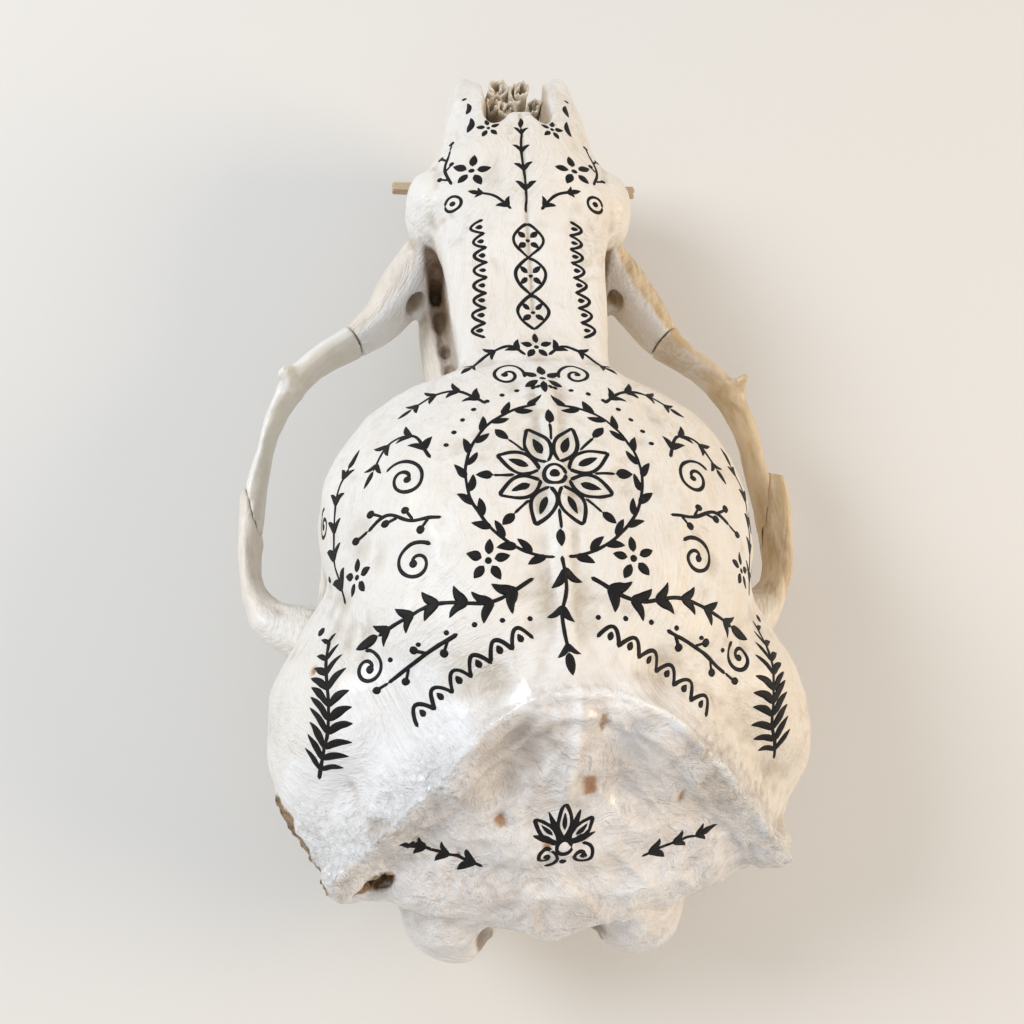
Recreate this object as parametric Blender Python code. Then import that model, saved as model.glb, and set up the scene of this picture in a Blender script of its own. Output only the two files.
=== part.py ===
"""Cranium of a grey seal without its lower jaw, lying on its two canines and its ear capsules.

Lengths are in millimetres until a mesh is made. Before the skull is set down, y runs from the
back of the condyles (0) to the tip of the snout, x is 0 on the midline, and z is 0 at the floor.
"""

import math

import bmesh
import bpy
import numpy as np
from mathutils import Matrix, Vector

MM = 0.001

# Driving dimensions
LENGTH = 226.0
MASTOID_WIDTH = 119.5
LEFT_ARCH_REACH = 67.2
RIGHT_ARCH_REACH = 63.2
BRAINCASE_WIDTH = 99.0
INTERORBITAL_WIDTH = 34.0
CROWN_HEIGHT = 98.0
PALATE_REAR = (112.0, 13.0)
PALATE_SLOPE = 0.065
PART_GAP = 0.3
PEG_ENDS = (-33.0, 41.5)
PEG_PLACE = 213.4
PEG_RADIUS = 2.0

# How finely the fused bone is rebuilt, and how many triangles it keeps
VOXEL = 1.25
BONE_TRIANGLES = 9400

HALF_MASTOID = MASTOID_WIDTH / 2
HALF_CASE = BRAINCASE_WIDTH / 2
HALF_BAR = INTERORBITAL_WIDTH / 2

# Each lofted body is rows of: y, half width, top, widest level, bottom, squareness
BRAINCASE = (
    (6.5, 6, 57, 50, 43, 2.0),
    (9, 15, 61, 49, 34, 2.1),
    (12, 29, 64, 48.5, 28, 2.2),
    (15, 40, 67, 48, 25, 2.2),
    (21, 49, 72, 47, 22, 2.2),
    (32, 55.4, 82, 46, 20, 2.2),
    (46, HALF_MASTOID, 93.5, 45, 19, 2.2),
    (56, HALF_MASTOID - 0.5, 97, 46, 19, 2.2),
    (67, HALF_MASTOID - 5.5, CROWN_HEIGHT, 49, 21, 2.2),
    (80, HALF_CASE + 0.5, CROWN_HEIGHT, 55, 26, 2.2),
    (94, HALF_CASE, 96, 59, 31, 2.2),
    (107, HALF_CASE - 4, 91.5, 61, 36, 2.2),
    (117, HALF_CASE - 10, 87, 62, 40, 2.2),
    (124, HALF_CASE - 19, 82.5, 62, 44, 2.2),
    (128, 15, 79, 62, 52, 2.2),
)
FRONTAL_BAR = (
    (100, 20, 88, 76, 58, 2.3),
    (122, HALF_BAR, 82, 74, 58, 2.6),
    (134, HALF_BAR, 77.5, 71, 57, 2.6),
    (148, HALF_BAR + 1.5, 75.5, 68, 54, 2.5),
    (160, HALF_BAR + 3, 74.5, 65, 46, 2.4),
    (170, HALF_BAR + 5.5, 74, 60, 38, 2.3),
    (177, HALF_BAR + 10.5, 73, 57, 32, 2.3),
    (185, HALF_BAR + 9, 72.2, 54, 28, 2.3),
    (195, HALF_BAR + 4.6, 71, 50, 26, 2.4),
    (203, HALF_BAR + 2.9, 69, 49, 25, 2.6),
    (212, HALF_BAR + 1.6, 64, 48, 25, 2.8),
    (220, HALF_BAR + 0.4, 57, 46, 25, 2.8),
    (224.5, HALF_BAR - 1.4, 50, 42, 26, 2.5),
    (LENGTH, HALF_BAR - 4.5, 45, 40, 30, 2.2),
)
ORBIT_WALL = (
    (88, 22, 60, 44, 20, 2.2),
    (104, 15, 68, 44, 19, 2.2),
    (122, 10.5, 72, 46, 19, 2.4),
    (142, 10.5, 70, 46, 20, 2.4),
    (160, 16, 66, 46, 22, 2.4),
    (172, 22, 62, 46, 24, 2.4),
)
MAXILLA = (
    (110, 13, 34, 25, 14, 2.4),
    (118, 18, 38, 26, 13.5, 2.6),
    (132, 21.5, 42, 28, 14.3, 2.8),
    (150, 24.5, 46, 30, 15.5, 2.8),
    (168, 25.5, 50, 32, 16.6, 2.8),
    (184, 23.5, 48, 33, 17.7, 2.7),
    (200, 21.5, 46, 33, 18.7, 2.6),
    (212, 18, 42, 31, 19.5, 2.4),
    (220, 13.5, 38, 29, 20.2, 2.2),
    (225, 7, 34, 28, 22, 2.0),
)
# Hollows, in the same rows
NOSE_TUNNEL = (
    (174, 6, 58, 48, 38, 2.2),
    (188, 8, 62.5, 48, 33, 2.2),
    (201, 8.6, 64.8, 48, 30, 2.4),
    (214, 8.8, 66, 48, 29, 2.4),
    (240, 10, 66, 48, 28, 2.4),
)
NOSE_SLOT = (
    (201.8, 3.6, 76, 62, 48, 2.2),
    (204, 6.6, 82, 62, 45, 2.6),
    (214, 8.2, 84, 62, 40, 2.8),
    (240, 9.4, 84, 62, 36, 2.8),
)
CHOANA = (
    (76, 8, 27, 19, -4, 2.4),
    (96, 9, 30, 20, -4, 2.4),
    (110, 8.5, 29, 20, -4, 2.4),
    (119, 4, 24, 17, 2, 2.2),
)
BRAIN_DOOR = (
    (-8, 11.5, 54, 43, 32, 2.0),
    (8, 11.5, 55, 44, 33, 2.0),
    (22, 13, 58, 46, 35, 2.0),
    (34, 9, 55, 47, 40, 2.0),
)
ORBIT_SLIT = (
    (22.0, 169.0, 46.0, 1.3, 11.0),
    (20.6, 160.0, 44.0, 1.5, 13.0),
    (19.0, 149.5, 42.5, 1.5, 14.0),
    (17.2, 140.0, 42.0, 1.3, 13.0),
)
PALATE_VAULT = (
    (120, 9, 16, 10, 4, 2.2),
    (150, 12.5, 18.8, 11, 4, 2.2),
    (185, 12, 20.6, 11, 4, 2.2),
    (210, 6, 20, 11, 4, 2.2),
)

# The cheek arches as rows of: x outward, y, z, half thickness, half height
ARCH_LEFT = (
    (24.0, 172.0, 43.0, 6.5, 12.0),
    (29.5, 164.5, 43.0, 6.8, 10.0),
    (35.5, 156.0, 42.0, 5.6, 8.4),
    (42.5, 149.8, 42.0, 4.2, 7.2),
    (50.0, 144.4, 42.5, 3.2, 7.0),
    (56.5, 138.0, 43.0, 3.0, 7.2),
    (61.2, 130.0, 42.5, 2.6, 6.8),
    (64.6, 119.0, 41.0, 2.1, 6.4),
    (66.4, 108.0, 40.0, 1.8, 6.0),
    (LEFT_ARCH_REACH, 97.0, 39.0, 1.7, 6.0),
    (66.2, 87.5, 39.0, 2.1, 6.2),
    (61.8, 80.0, 39.5, 3.4, 6.6),
    (50.0, 74.0, 41.0, 6.5, 9.0),
)
ARCH_RIGHT = (
    (24.0, 173.0, 43.0, 6.0, 12.0),
    (29.0, 167.0, 43.0, 6.0, 10.0),
    (34.4, 158.8, 42.0, 5.0, 8.4),
    (39.8, 150.5, 42.0, 4.0, 7.4),
    (45.4, 144.5, 42.0, 3.0, 7.0),
    (51.8, 138.8, 42.5, 2.6, 7.0),
    (56.2, 133.0, 42.5, 2.6, 7.0),
    (59.2, 125.8, 42.0, 2.5, 6.8),
    (61.2, 116.0, 41.0, 2.0, 6.4),
    (62.2, 106.0, 40.0, 1.7, 6.0),
    (62.8, 97.0, 39.5, 1.7, 5.8),
    (RIGHT_ARCH_REACH, 89.0, 39.5, 2.0, 6.0),
    (60.0, 80.5, 40.0, 3.4, 6.6),
    (50.0, 74.0, 41.0, 6.5, 9.0),
)
SPUR_LEFT = ((57.0, 133.5, 46.0, 2.6), (58.8, 137.0, 50.4, 1.9), (59.2, 137.6, 52.4, 1.2))
SPUR_RIGHT = ((55.2, 131.4, 45.0, 3.0), (56.6, 134.8, 50.0, 2.2), (57.2, 136.4, 52.6, 1.1))
LIP_LEFT = (
    (52.0, 71.0, 42.0, 5.0, 7.0),
    (62.0, 76.5, 42.0, 3.8, 6.0),
    (67.0, 87.0, 42.0, 2.2, 5.0),
    (68.0, 98.0, 42.0, 1.3, 4.0),
    (68.0, 108.0, 42.0, 0.9, 2.6),
)
LIP_RIGHT = (
    (52.0, 72.0, 42.0, 5.0, 7.0),
    (60.0, 78.5, 42.0, 3.4, 6.2),
    (64.2, 88.0, 42.0, 2.2, 5.8),
    (65.6, 100.0, 42.0, 1.8, 5.4),
    (65.4, 111.5, 42.5, 1.7, 5.0),
)

# Ridges and hollows of the roof, as plan paths (x, y) with a height and a width
NUCHAL_LEFT = ((0.0, 51.5), (-7.0, 50.6), (-15.5, 46.0), (-22.5, 38.0), (-33.0, 29.0), (-44.0, 20.0))
NUCHAL_RIGHT = ((0.0, 51.5), (10.0, 51.0), (19.5, 47.0), (29.0, 39.5), (40.0, 29.5), (52.0, 19.5))
OCCIPITAL_RIDGE = ((1.0, 52.0), (1.0, 44.0), (0.5, 35.0))
SAGITTAL_RIDGE = ((0.0, 52.0), (0.0, 84.0), (0.0, 118.0))
RELIEF = (
    (NUCHAL_LEFT, 2.6, 2.6),
    (NUCHAL_RIGHT, 2.6, 2.6),
    (NUCHAL_LEFT, 1.6, 7.0),
    (NUCHAL_RIGHT, 1.6, 7.0),
    (OCCIPITAL_RIDGE, 2.4, 1.9),
    (SAGITTAL_RIDGE, 0.9, 1.8),
    (((-9.5, 43.5), (-10.5, 37.0)), -3.2, 5.0),
    (((11.5, 44.0), (13.0, 37.0)), -3.2, 5.0),
    (((0.0, 21.0), (0.0, 16.0)), 1.8, 10.0),
    (((-27.0, 27.0), (-36.0, 19.5)), -2.0, 5.0),
    (((32.0, 27.5), (42.0, 19.5)), -2.2, 6.0),
    (((-16.0, 54.0), (-30.0, 50.0), (-41.0, 38.0)), -2.4, 6.0),
    (((20.0, 56.0), (34.0, 50.0), (47.0, 37.0)), -2.2, 6.0),
    (((-49.0, 78.0), (-40.0, 66.0), (-33.0, 56.0)), -2.2, 5.5),
    (((49.0, 78.0), (41.0, 66.0), (35.0, 57.0)), -2.2, 5.5),
    (((-54.0, 52.0), (-55.0, 40.0)), 1.6, 11.0),
    (((54.0, 52.0), (56.0, 38.0)), 1.6, 11.0),
    (((-26.0, 92.0), (-24.0, 78.0)), 1.6, 12.0),
    (((26.0, 92.0), (24.0, 78.0)), 1.6, 12.0),
    (((-16.0, 124.0), (-16.5, 158.0)), 0.8, 2.6),
    (((16.0, 124.0), (16.5, 158.0)), 0.8, 2.6),
    (((0.0, 128.0), (0.0, 165.0)), -0.7, 5.0),
)
MOST_RELIEF = 3.6
UNEVENNESS = 0.45

# Teeth: y, x outward, root radius, crown height
CHEEK_TEETH = ((188.5, 18.4, 3.0, 7.5), (177.0, 19.4, 3.7, 8.6), (164.5, 20.2, 3.9, 8.8),
               (151.5, 19.8, 3.8, 8.2), (139.5, 18.2, 3.2, 6.6))
INCISORS = ((222.6, 2.7, 1.9, 5.4), (221.4, 6.4, 2.0, 6.2), (218.8, 10.2, 2.5, 8.4))
CANINE = (
    (15.6, 203.0, 26.0, 5.4),
    (16.2, 205.4, 14.0, 4.8),
    (16.6, 205.6, 6.0, 3.8),
    (16.8, 204.6, -1.2, 2.2),
)


def curve_through(knots, values, at):
    """Values between knots on a cubic whose slopes never overshoot the steps on either side."""
    knots = np.asarray(knots, float)
    values = np.asarray(values, float)
    steps = np.diff(knots)
    rise = np.diff(values) / steps
    slope = np.zeros(len(knots))
    slope[0], slope[-1] = rise[0], rise[-1]
    inner = rise[:-1] * rise[1:] > 0
    both = np.where(inner, rise[:-1] + rise[1:], 1.0)
    slope[1:-1] = np.where(inner, 2 * rise[:-1] * rise[1:] / both, 0.0)
    i = np.clip(np.searchsorted(knots, at) - 1, 0, len(knots) - 2)
    t = (at - knots[i]) / steps[i]
    low = (1 + 2 * t) * (1 - t) ** 2 * values[i] + t * (1 - t) ** 2 * slope[i] * steps[i]
    return low + t * t * (3 - 2 * t) * values[i + 1] + t * t * (t - 1) * slope[i + 1] * steps[i]


def dense(rows, count):
    """The rows read at evenly spread places along their first column, or along their length."""
    rows = np.asarray(rows, float)
    at = np.linspace(rows[0, 0], rows[-1, 0], count)
    return np.column_stack([at] + [curve_through(rows[:, 0], c, at) for c in rows[:, 1:].T])


def add_object(name, points, faces):
    mesh = bpy.data.meshes.new(name)
    mesh.from_pydata([tuple(p) for p in np.asarray(points) * MM], [], [tuple(f) for f in faces])
    bm = bmesh.new()
    bm.from_mesh(mesh)
    bmesh.ops.recalc_face_normals(bm, faces=bm.faces)
    bm.to_mesh(mesh)
    bm.free()
    obj = bpy.data.objects.new(name, mesh)
    bpy.context.scene.collection.objects.link(obj)
    return obj


def rings_to_solid(name, rings):
    """Closed skin over rings of equal count, with a fan on each end."""
    count, sides = rings.shape[:2]
    points = np.vstack([rings.reshape(-1, 3), rings[0].mean(axis=0), rings[-1].mean(axis=0)])
    faces = []
    for i in range(count - 1):
        for j in range(sides):
            k = (j + 1) % sides
            faces.append((i * sides + j, i * sides + k, (i + 1) * sides + k, (i + 1) * sides + j))
    first, last = count * sides, count * sides + 1
    for j in range(sides):
        k = (j + 1) % sides
        faces.append((first, k, j))
        faces.append((last, (count - 1) * sides + j, (count - 1) * sides + k))
    return add_object(name, points, faces)


def loft(name, rows, count=40, sides=40):
    """Superellipse sections along y, with their own upper and lower halves."""
    rows = dense(rows, count)
    angle = np.linspace(0, 2 * math.pi, sides, endpoint=False)
    cos, sin = np.cos(angle), np.sin(angle)
    rings = []
    for y, half, top, middle, bottom, square in rows:
        x = half * np.sign(cos) * np.abs(cos) ** (2 / square)
        reach = np.where(sin > 0, top - middle, middle - bottom)
        z = middle + reach * np.sign(sin) * np.abs(sin) ** (2 / square)
        rings.append(np.column_stack([x, np.full(sides, y), z]))
    return rings_to_solid(name, np.array(rings))


def sweep(name, rows, side=1, count=30, sides=14):
    """A bar along x, y, z with a half thickness and, if given, another half height."""
    rows = np.asarray(rows, float)
    if rows.shape[1] == 4:
        rows = np.column_stack([rows, rows[:, 3]])
    run = np.concatenate([[0], np.cumsum(np.linalg.norm(np.diff(rows[:, :3], axis=0), axis=1))])
    path = dense(np.column_stack([run, rows]), count)[:, 1:]
    path[:, 0] *= side
    along = np.gradient(path[:, :3], axis=0)
    along /= np.linalg.norm(along, axis=1)[:, None]
    rings = []
    angle = np.linspace(0, 2 * math.pi, sides, endpoint=False)
    for row, ahead in zip(path, along):
        upright = Vector((0, 0, 1)) if abs(ahead[2]) < 0.8 else Vector((0, 1, 0))
        across = Vector(ahead).cross(upright).normalized()
        up = across.cross(Vector(ahead)).normalized()
        ring = row[:3] + np.outer(np.cos(angle) * row[3], across) + np.outer(np.sin(angle) * row[4], up)
        rings.append(ring)
    return rings_to_solid(name, np.array(rings))


def ball(name, centre, radii, turn=(0, 0, 0), segments=28):
    bm = bmesh.new()
    bmesh.ops.create_uvsphere(bm, u_segments=segments, v_segments=segments // 2, radius=1)
    turned = Matrix.Rotation(math.radians(turn[2]), 4, "Z") @ Matrix.Rotation(math.radians(turn[0]), 4, "X")
    turned = turned @ Matrix.Rotation(math.radians(turn[1]), 4, "Y")
    place = Matrix.Translation(Vector(centre) * MM) @ turned @ Matrix.Diagonal((*(Vector(radii) * MM), 1))
    bmesh.ops.transform(bm, matrix=place, verts=bm.verts)
    mesh = bpy.data.meshes.new(name)
    bm.to_mesh(mesh)
    bm.free()
    obj = bpy.data.objects.new(name, mesh)
    bpy.context.scene.collection.objects.link(obj)
    return obj


def slab(name, centre, ahead, width, height):
    """A plate as thick as the gap between parts, facing along the direction given."""
    facing = Vector(ahead).to_track_quat("Y", "Z").to_matrix().to_4x4()
    bm = bmesh.new()
    bmesh.ops.create_cube(bm, size=1)
    size = Matrix.Diagonal((width * MM, PART_GAP * MM, height * MM, 1))
    bmesh.ops.transform(bm, matrix=Matrix.Translation(Vector(centre) * MM) @ facing @ size, verts=bm.verts)
    mesh = bpy.data.meshes.new(name)
    bm.to_mesh(mesh)
    bm.free()
    obj = bpy.data.objects.new(name, mesh)
    bpy.context.scene.collection.objects.link(obj)
    return obj


def apply_modifiers(obj):
    graph = bpy.context.evaluated_depsgraph_get()
    mesh = bpy.data.meshes.new_from_object(obj.evaluated_get(graph))
    obj.modifiers.clear()
    old, obj.data = obj.data, mesh
    bpy.data.meshes.remove(old)


def combine(base, others, operation):
    """One Boolean of the base with a collection of closed meshes, which are then removed."""
    group = bpy.data.collections.new("operands")
    for other in others:
        bpy.context.scene.collection.objects.unlink(other)
        group.objects.link(other)
    bpy.context.scene.collection.children.link(group)
    boolean = base.modifiers.new(operation.title(), "BOOLEAN")
    boolean.operation = operation
    boolean.operand_type = "COLLECTION"
    boolean.collection = group
    boolean.solver = "MANIFOLD"
    apply_modifiers(base)
    for other in others:
        bpy.data.objects.remove(other)
    bpy.data.collections.remove(group)
    return base


def path_distance(points, path):
    """Shortest distance on the plan from each point to a path of straight runs."""
    nearest = np.full(len(points), np.inf)
    for start, end in zip(path[:-1], path[1:]):
        start, run = np.array(start), np.subtract(end, start)
        share = np.clip((points[:, :2] - start) @ run / (run @ run), 0, 1)
        nearest = np.minimum(nearest, np.linalg.norm(points[:, :2] - start - share[:, None] * run, axis=1))
    return nearest


def uneven(points):
    """Slow waves in seeded directions, about -1 to 1, as no bone is quite regular."""
    draw = np.random.default_rng(11)
    total = np.zeros(len(points))
    for _ in range(9):
        way = draw.normal(size=3)
        wave = 2 * math.pi / draw.uniform(13, 34)
        total += np.sin(points @ (way / np.linalg.norm(way)) * wave + draw.uniform(0, 6.28))
    return total / 3


def sculpt_roof(obj):
    """Raises the crests and sinks the hollows of the roof along the surface's own normals."""
    count = len(obj.data.vertices)
    points, normals = np.empty(count * 3), np.empty(count * 3)
    obj.data.vertices.foreach_get("co", points)
    obj.data.vertices.foreach_get("normal", normals)
    points, normals = points.reshape(-1, 3) / MM, normals.reshape(-1, 3)
    facing = np.clip((points[:, 2] - 42) / 14, 0, 1) * np.clip(normals[:, 2] * 3 + 0.6, 0, 1)
    lift = np.zeros(count)
    for path, height, width in RELIEF:
        lift += height * np.exp(-((path_distance(points, path) / width) ** 2)) * facing
    lift = MOST_RELIEF * np.tanh(lift / MOST_RELIEF)
    lift += UNEVENNESS * uneven(points) * np.clip((points[:, 2] - 20) / 14, 0, 1)
    obj.data.vertices.foreach_set("co", ((points + normals * lift[:, None]) * MM).ravel())
    obj.data.update()


def rebuild_skin(obj, voxel, triangles):
    """One flowing skin: rebuilt on a fine grid, smoothed, sculpted, and thinned where it is flat."""
    remesh = obj.modifiers.new("Remesh", "REMESH")
    remesh.mode = "VOXEL"
    remesh.voxel_size = voxel * MM
    apply_modifiers(obj)
    smooth = obj.modifiers.new("Smooth", "SMOOTH")
    smooth.factor = 0.5
    smooth.iterations = 3
    apply_modifiers(obj)
    sculpt_roof(obj)
    thin = obj.modifiers.new("Decimate", "DECIMATE")
    thin.ratio = triangles / (2 * len(obj.data.polygons))
    apply_modifiers(obj)
    return obj


def loose_bodies(bm):
    """The sets of vertices that hang together."""
    left = set(bm.verts)
    found = []
    while left:
        body, front = set(), [left.pop()]
        while front:
            vert = front.pop()
            body.add(vert)
            for edge in vert.link_edges:
                other = edge.other_vert(vert)
                if other in left:
                    left.discard(other)
                    front.append(other)
        found.append(body)
    return sorted(found, key=len, reverse=True)


def keep_largest(obj):
    bm = bmesh.new()
    bm.from_mesh(obj.data)
    for body in loose_bodies(bm)[1:]:
        bmesh.ops.delete(bm, geom=list(body), context="VERTS")
    bm.to_mesh(obj.data)
    bm.free()
    return obj


def cut_flat_at_floor(obj):
    """Takes off what lies below z = 0 and closes the cuts, which leaves small flats at one level."""
    bm = bmesh.new()
    bm.from_mesh(obj.data)
    geometry = list(bm.verts) + list(bm.edges) + list(bm.faces)
    cut = bmesh.ops.bisect_plane(
        bm, geom=geometry, plane_co=(0, 0, 0), plane_no=(0, 0, 1), clear_inner=True
    )
    edges = [g for g in cut["geom_cut"] if isinstance(g, bmesh.types.BMEdge)]
    bmesh.ops.holes_fill(bm, edges=edges)
    bmesh.ops.triangulate(bm, faces=bm.faces)
    bm.to_mesh(obj.data)
    bm.free()


def braincase_pieces():
    pieces = [loft("case", BRAINCASE, count=60, sides=56)]
    for side in (-1, 1):
        pieces.append(ball("condyle", (side * 20.5, 11.2, 40.5), (11.4, 10.8, 15.5), (0, 0, side * 22)))
        pieces.append(ball("condyle_root", (side * 17.0, 19.0, 36.0), (14.0, 14.0, 14.0)))
        pieces.append(ball("ear_capsule", (side * 27.5, 58.0, 16.0), (15.5, 20.5, 16.6), (0, 0, side * 24)))
        pieces.append(ball("mastoid", (side * 47.0, 45.0, 40.0), (13.2, 20.0, 22.0)))
        pieces.append(ball("glenoid", (side * 50.0, 74.5, 36.0), (12.0, 8.0, 9.0)))
        spike = ((41.0, 26.0, 34.0, 8.0), (42.5, 23.0, 24.0, 5.0), (43.0, 21.5, 17.0, 2.6))
        pieces.append(sweep("jugular_process", spike, side))
        wing = ((12.0, 116.0, 22.0, 2.4, 9.0), (12.5, 104.0, 18.0, 2.1, 10.0), (13.0, 94.0, 13.0, 1.9, 6.0))
        pieces.append(sweep("pterygoid", wing, side))
    pieces.append(ball("rear_corner", (46.0, 24.0, 54.0), (6.0, 6.0, 8.0), (0, 0, 30)))
    pieces.append(ball("rear_knob", (-39.5, 22.5, 61.0), (5.6, 5.0, 6.0), (20, 0, 25)))
    pieces.append(ball("rear_knob", (-42.5, 20.0, 54.0), (4.2, 4.2, 6.0), (0, 20, 0)))
    floor_plate = ((30, 16, 32, 26, 18, 2.4), (60, 18, 34, 26, 16, 2.4), (95, 17, 34, 26, 19, 2.4))
    pieces.append(loft("skull_base", floor_plate, count=12, sides=24))
    return pieces


def face_pieces():
    pieces = [
        loft("frontal_bar", FRONTAL_BAR, count=60, sides=44),
        loft("orbit_wall", ORBIT_WALL),
        loft("maxilla", MAXILLA),
    ]
    for side in (-1, 1):
        pieces.append(ball("tear_boss", (side * 23.0, 178.5, 58.0), (6.2, 10.0, 10.0)))
        rim = ((13.6, 204.0, 57.0, 4.4, 8.0), (13.2, 215.0, 51.5, 4.2, 8.0), (12.2, 222.0, 46.0, 3.8, 6.0))
        pieces.append(sweep("nose_rim", rim, side))
    return pieces


def arch_pieces():
    pieces = []
    sides = ((-1, ARCH_LEFT, SPUR_LEFT, LIP_LEFT), (1, ARCH_RIGHT, SPUR_RIGHT, LIP_RIGHT))
    for side, arch, spur, lip in sides:
        pieces.append(sweep("arch", arch, side, count=48))
        pieces.append(sweep("cheek_spur", spur, side, count=10))
        pieces.append(sweep("squamosal_lip", lip, side))
    return pieces


def palate_level(y):
    return PALATE_REAR[1] + (y - PALATE_REAR[0]) * PALATE_SLOPE


def tooth_pieces():
    """Cone-shaped teeth in a curved row, each root sunk into the jaw."""
    pieces = []
    draw = np.random.default_rng(5)
    for side in (-1, 1):
        pieces.append(sweep("canine", CANINE, side, count=16, sides=14))
        for y, x, radius, height in CHEEK_TEETH + INCISORS:
            size = 1 + draw.uniform(-0.06, 0.06)
            gum = palate_level(y)
            crown = (
                (x, y, gum + 6, radius * 0.9 * size),
                (x, y, gum, radius * size),
                (x + 0.3, y - 0.4, gum - 0.55 * height, radius * 0.78 * size),
                (x + 0.4, y - 1.2, gum - height * size, 0.9),
            )
            pieces.append(sweep("tooth", crown, side, count=10, sides=12))
    return pieces


def hollow_pieces():
    pieces = [
        loft("nose_tunnel", NOSE_TUNNEL, count=20, sides=28),
        loft("nose_slot", NOSE_SLOT, count=20, sides=28),
        loft("choana", CHOANA, count=20, sides=24),
        loft("brain_door", BRAIN_DOOR, count=16, sides=24),
        loft("palate_vault", PALATE_VAULT, count=16, sides=20),
    ]
    for side in (-1, 1):
        pieces.append(ball("nose_notch", (side * 6.0, 203.0, 67.0), (2.6, 6.0, 9.0)))
        pieces.append(ball("ear_hole", (side * 55.0, 66.0, 27.0), (6.0, 3.4, 3.4)))
        canal = ((27.0, 184.0, 39.0, 2.4, 3.4), (28.6, 170.0, 41.0, 2.4, 3.4), (25.6, 156.0, 46.0, 3.0, 4.0))
        pieces.append(sweep("cheek_canal", canal, side, count=12))
        pieces.append(sweep("orbit_slit", ORBIT_SLIT, side, count=16))
    return pieces


def break_pieces():
    """The broken left rear corner: scoops out of its edge, each open upwards, and a torn hole."""
    bites = (
        ((-58.6, 31.5, 49.0), (3.8, 6.0, 8.5)),
        ((-55.0, 25.5, 50.0), (4.4, 5.4, 8.5)),
        ((-50.8, 20.2, 50.0), (4.2, 4.4, 8.5)),
        ((-37.0, 19.2, 61.0), (4.8, 2.4, 5.0)),
        ((-36.5, 10.2, 50.0), (8.0, 4.2, 10.0)),
        ((-46.5, 13.6, 44.0), (5.0, 4.2, 10.0)),
    )
    return [ball("bite", centre, radii, (20, 15, 30), 16) for centre, radii in bites]


def nose_pieces():
    """The partition and the rolled plates inside the nose, rooted in the back of the tunnel."""
    partition = ((0.0, 178.0, 46.0, 1.3, 12.0), (0.0, 196.0, 43.0, 1.3, 12.0), (0.0, 208.0, 38.0, 1.3, 9.0))
    pieces = [sweep("partition", partition)]
    for side in (-1, 1):
        for level, reach in ((40.0, 206.0), (52.0, 202.0)):
            roll = (
                (4.5, 176.0, level, 3.4, 4.4),
                (5.0, 192.0, level, 3.2, 4.4),
                (5.2, reach, level, 2.4, 3.4),
            )
            pieces.append(sweep("rolled_plate", roll, side, count=12, sides=10))
    return pieces


def fused_bone():
    base, *others = braincase_pieces() + face_pieces() + arch_pieces() + tooth_pieces()
    bone = combine(base, others, "UNION")
    combine(bone, hollow_pieces() + break_pieces(), "DIFFERENCE")
    combine(bone, nose_pieces(), "UNION")
    keep_largest(bone)
    rebuild_skin(bone, VOXEL, BONE_TRIANGLES)
    keep_largest(bone)
    cut_flat_at_floor(bone)
    return bone


def parting_plates():
    """Plates along the sutures between snout, braincase and the two cheek bones."""
    return [
        slab("snout_suture", (0, 137, 44), (0, 1, -0.62), 72, 110),
        slab("left_front_suture", (-42.5, 149.8, 42), (-0.79, -0.61, 0), 26, 34),
        slab("right_front_suture", (39.8, 150.5, 42), (0.62, -0.79, 0), 26, 34),
        slab("left_rear_scarf", (-66.0, 100.5, 40), (-0.972, -0.235, 0), 26, 30),
        slab("right_rear_scarf", (62.1, 101.5, 40), (0.992, -0.123, 0), 26, 30),
    ]


def part_bone(bone):
    """Cuts the fused bone along its sutures and names the bodies by where they lie."""
    combine(bone, parting_plates(), "DIFFERENCE")
    bm = bmesh.new()
    bm.from_mesh(bone.data)
    bodies = loose_bodies(bm)[:4]
    middles = [sum((v.co for v in body), Vector()) / len(body) / MM for body in bodies]
    named = {}
    for body, middle in zip(bodies, middles):
        if abs(middle.x) > 40:
            name = "cheek_bone_right" if middle.x > 0 else "cheek_bone_left"
        else:
            name = "snout" if middle.y > 140 else "braincase"
        named[name] = body
    order = {vert: name for name, body in named.items() for vert in body}
    for name in sorted(named):
        verts = [v for v in bm.verts if order.get(v) == name]
        index = {v: i for i, v in enumerate(verts)}
        faces = [[index[v] for v in f.verts] for f in bm.faces if f.verts[0] in index]
        mesh = bpy.data.meshes.new(name)
        mesh.from_pydata([tuple(v.co) for v in verts], [], faces)
        obj = bpy.data.objects.new(name, mesh)
        bpy.context.scene.collection.objects.link(obj)
    bm.free()
    bpy.data.objects.remove(bone)
    return [bpy.data.objects[name] for name in sorted(named)]


def wooden_peg():
    """The thin cut stick that lies across under the snout, between the incisors and the canines."""
    y = PEG_PLACE
    z = palate_level(y) - PEG_RADIUS - PART_GAP - 0.4
    left, right = PEG_ENDS
    rows = ((left, y, z, PEG_RADIUS * 0.9), (0.0, y, z, PEG_RADIUS), (right, y, z, PEG_RADIUS * 0.95))
    return sweep("wooden_peg", rows, count=4, sides=12)


def painted(name, colour, roughness):
    material = bpy.data.materials.new(name)
    material.use_nodes = True
    shader = material.node_tree.nodes["Principled BSDF"]
    shader.inputs["Base Color"].default_value = (*colour, 1)
    shader.inputs["Roughness"].default_value = roughness
    shader.inputs["Metallic"].default_value = 0
    return material


def set_down(objects):
    """Moves the meshes so that the origin is under the middle of the whole, on the floor."""
    corners = np.array([v.co for obj in objects for v in obj.data.vertices])
    low, high = corners.min(axis=0), corners.max(axis=0)
    shift = Vector((-(low[0] + high[0]) / 2, -(low[1] + high[1]) / 2, -low[2]))
    for obj in objects:
        obj.data.transform(Matrix.Translation(shift))


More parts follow.
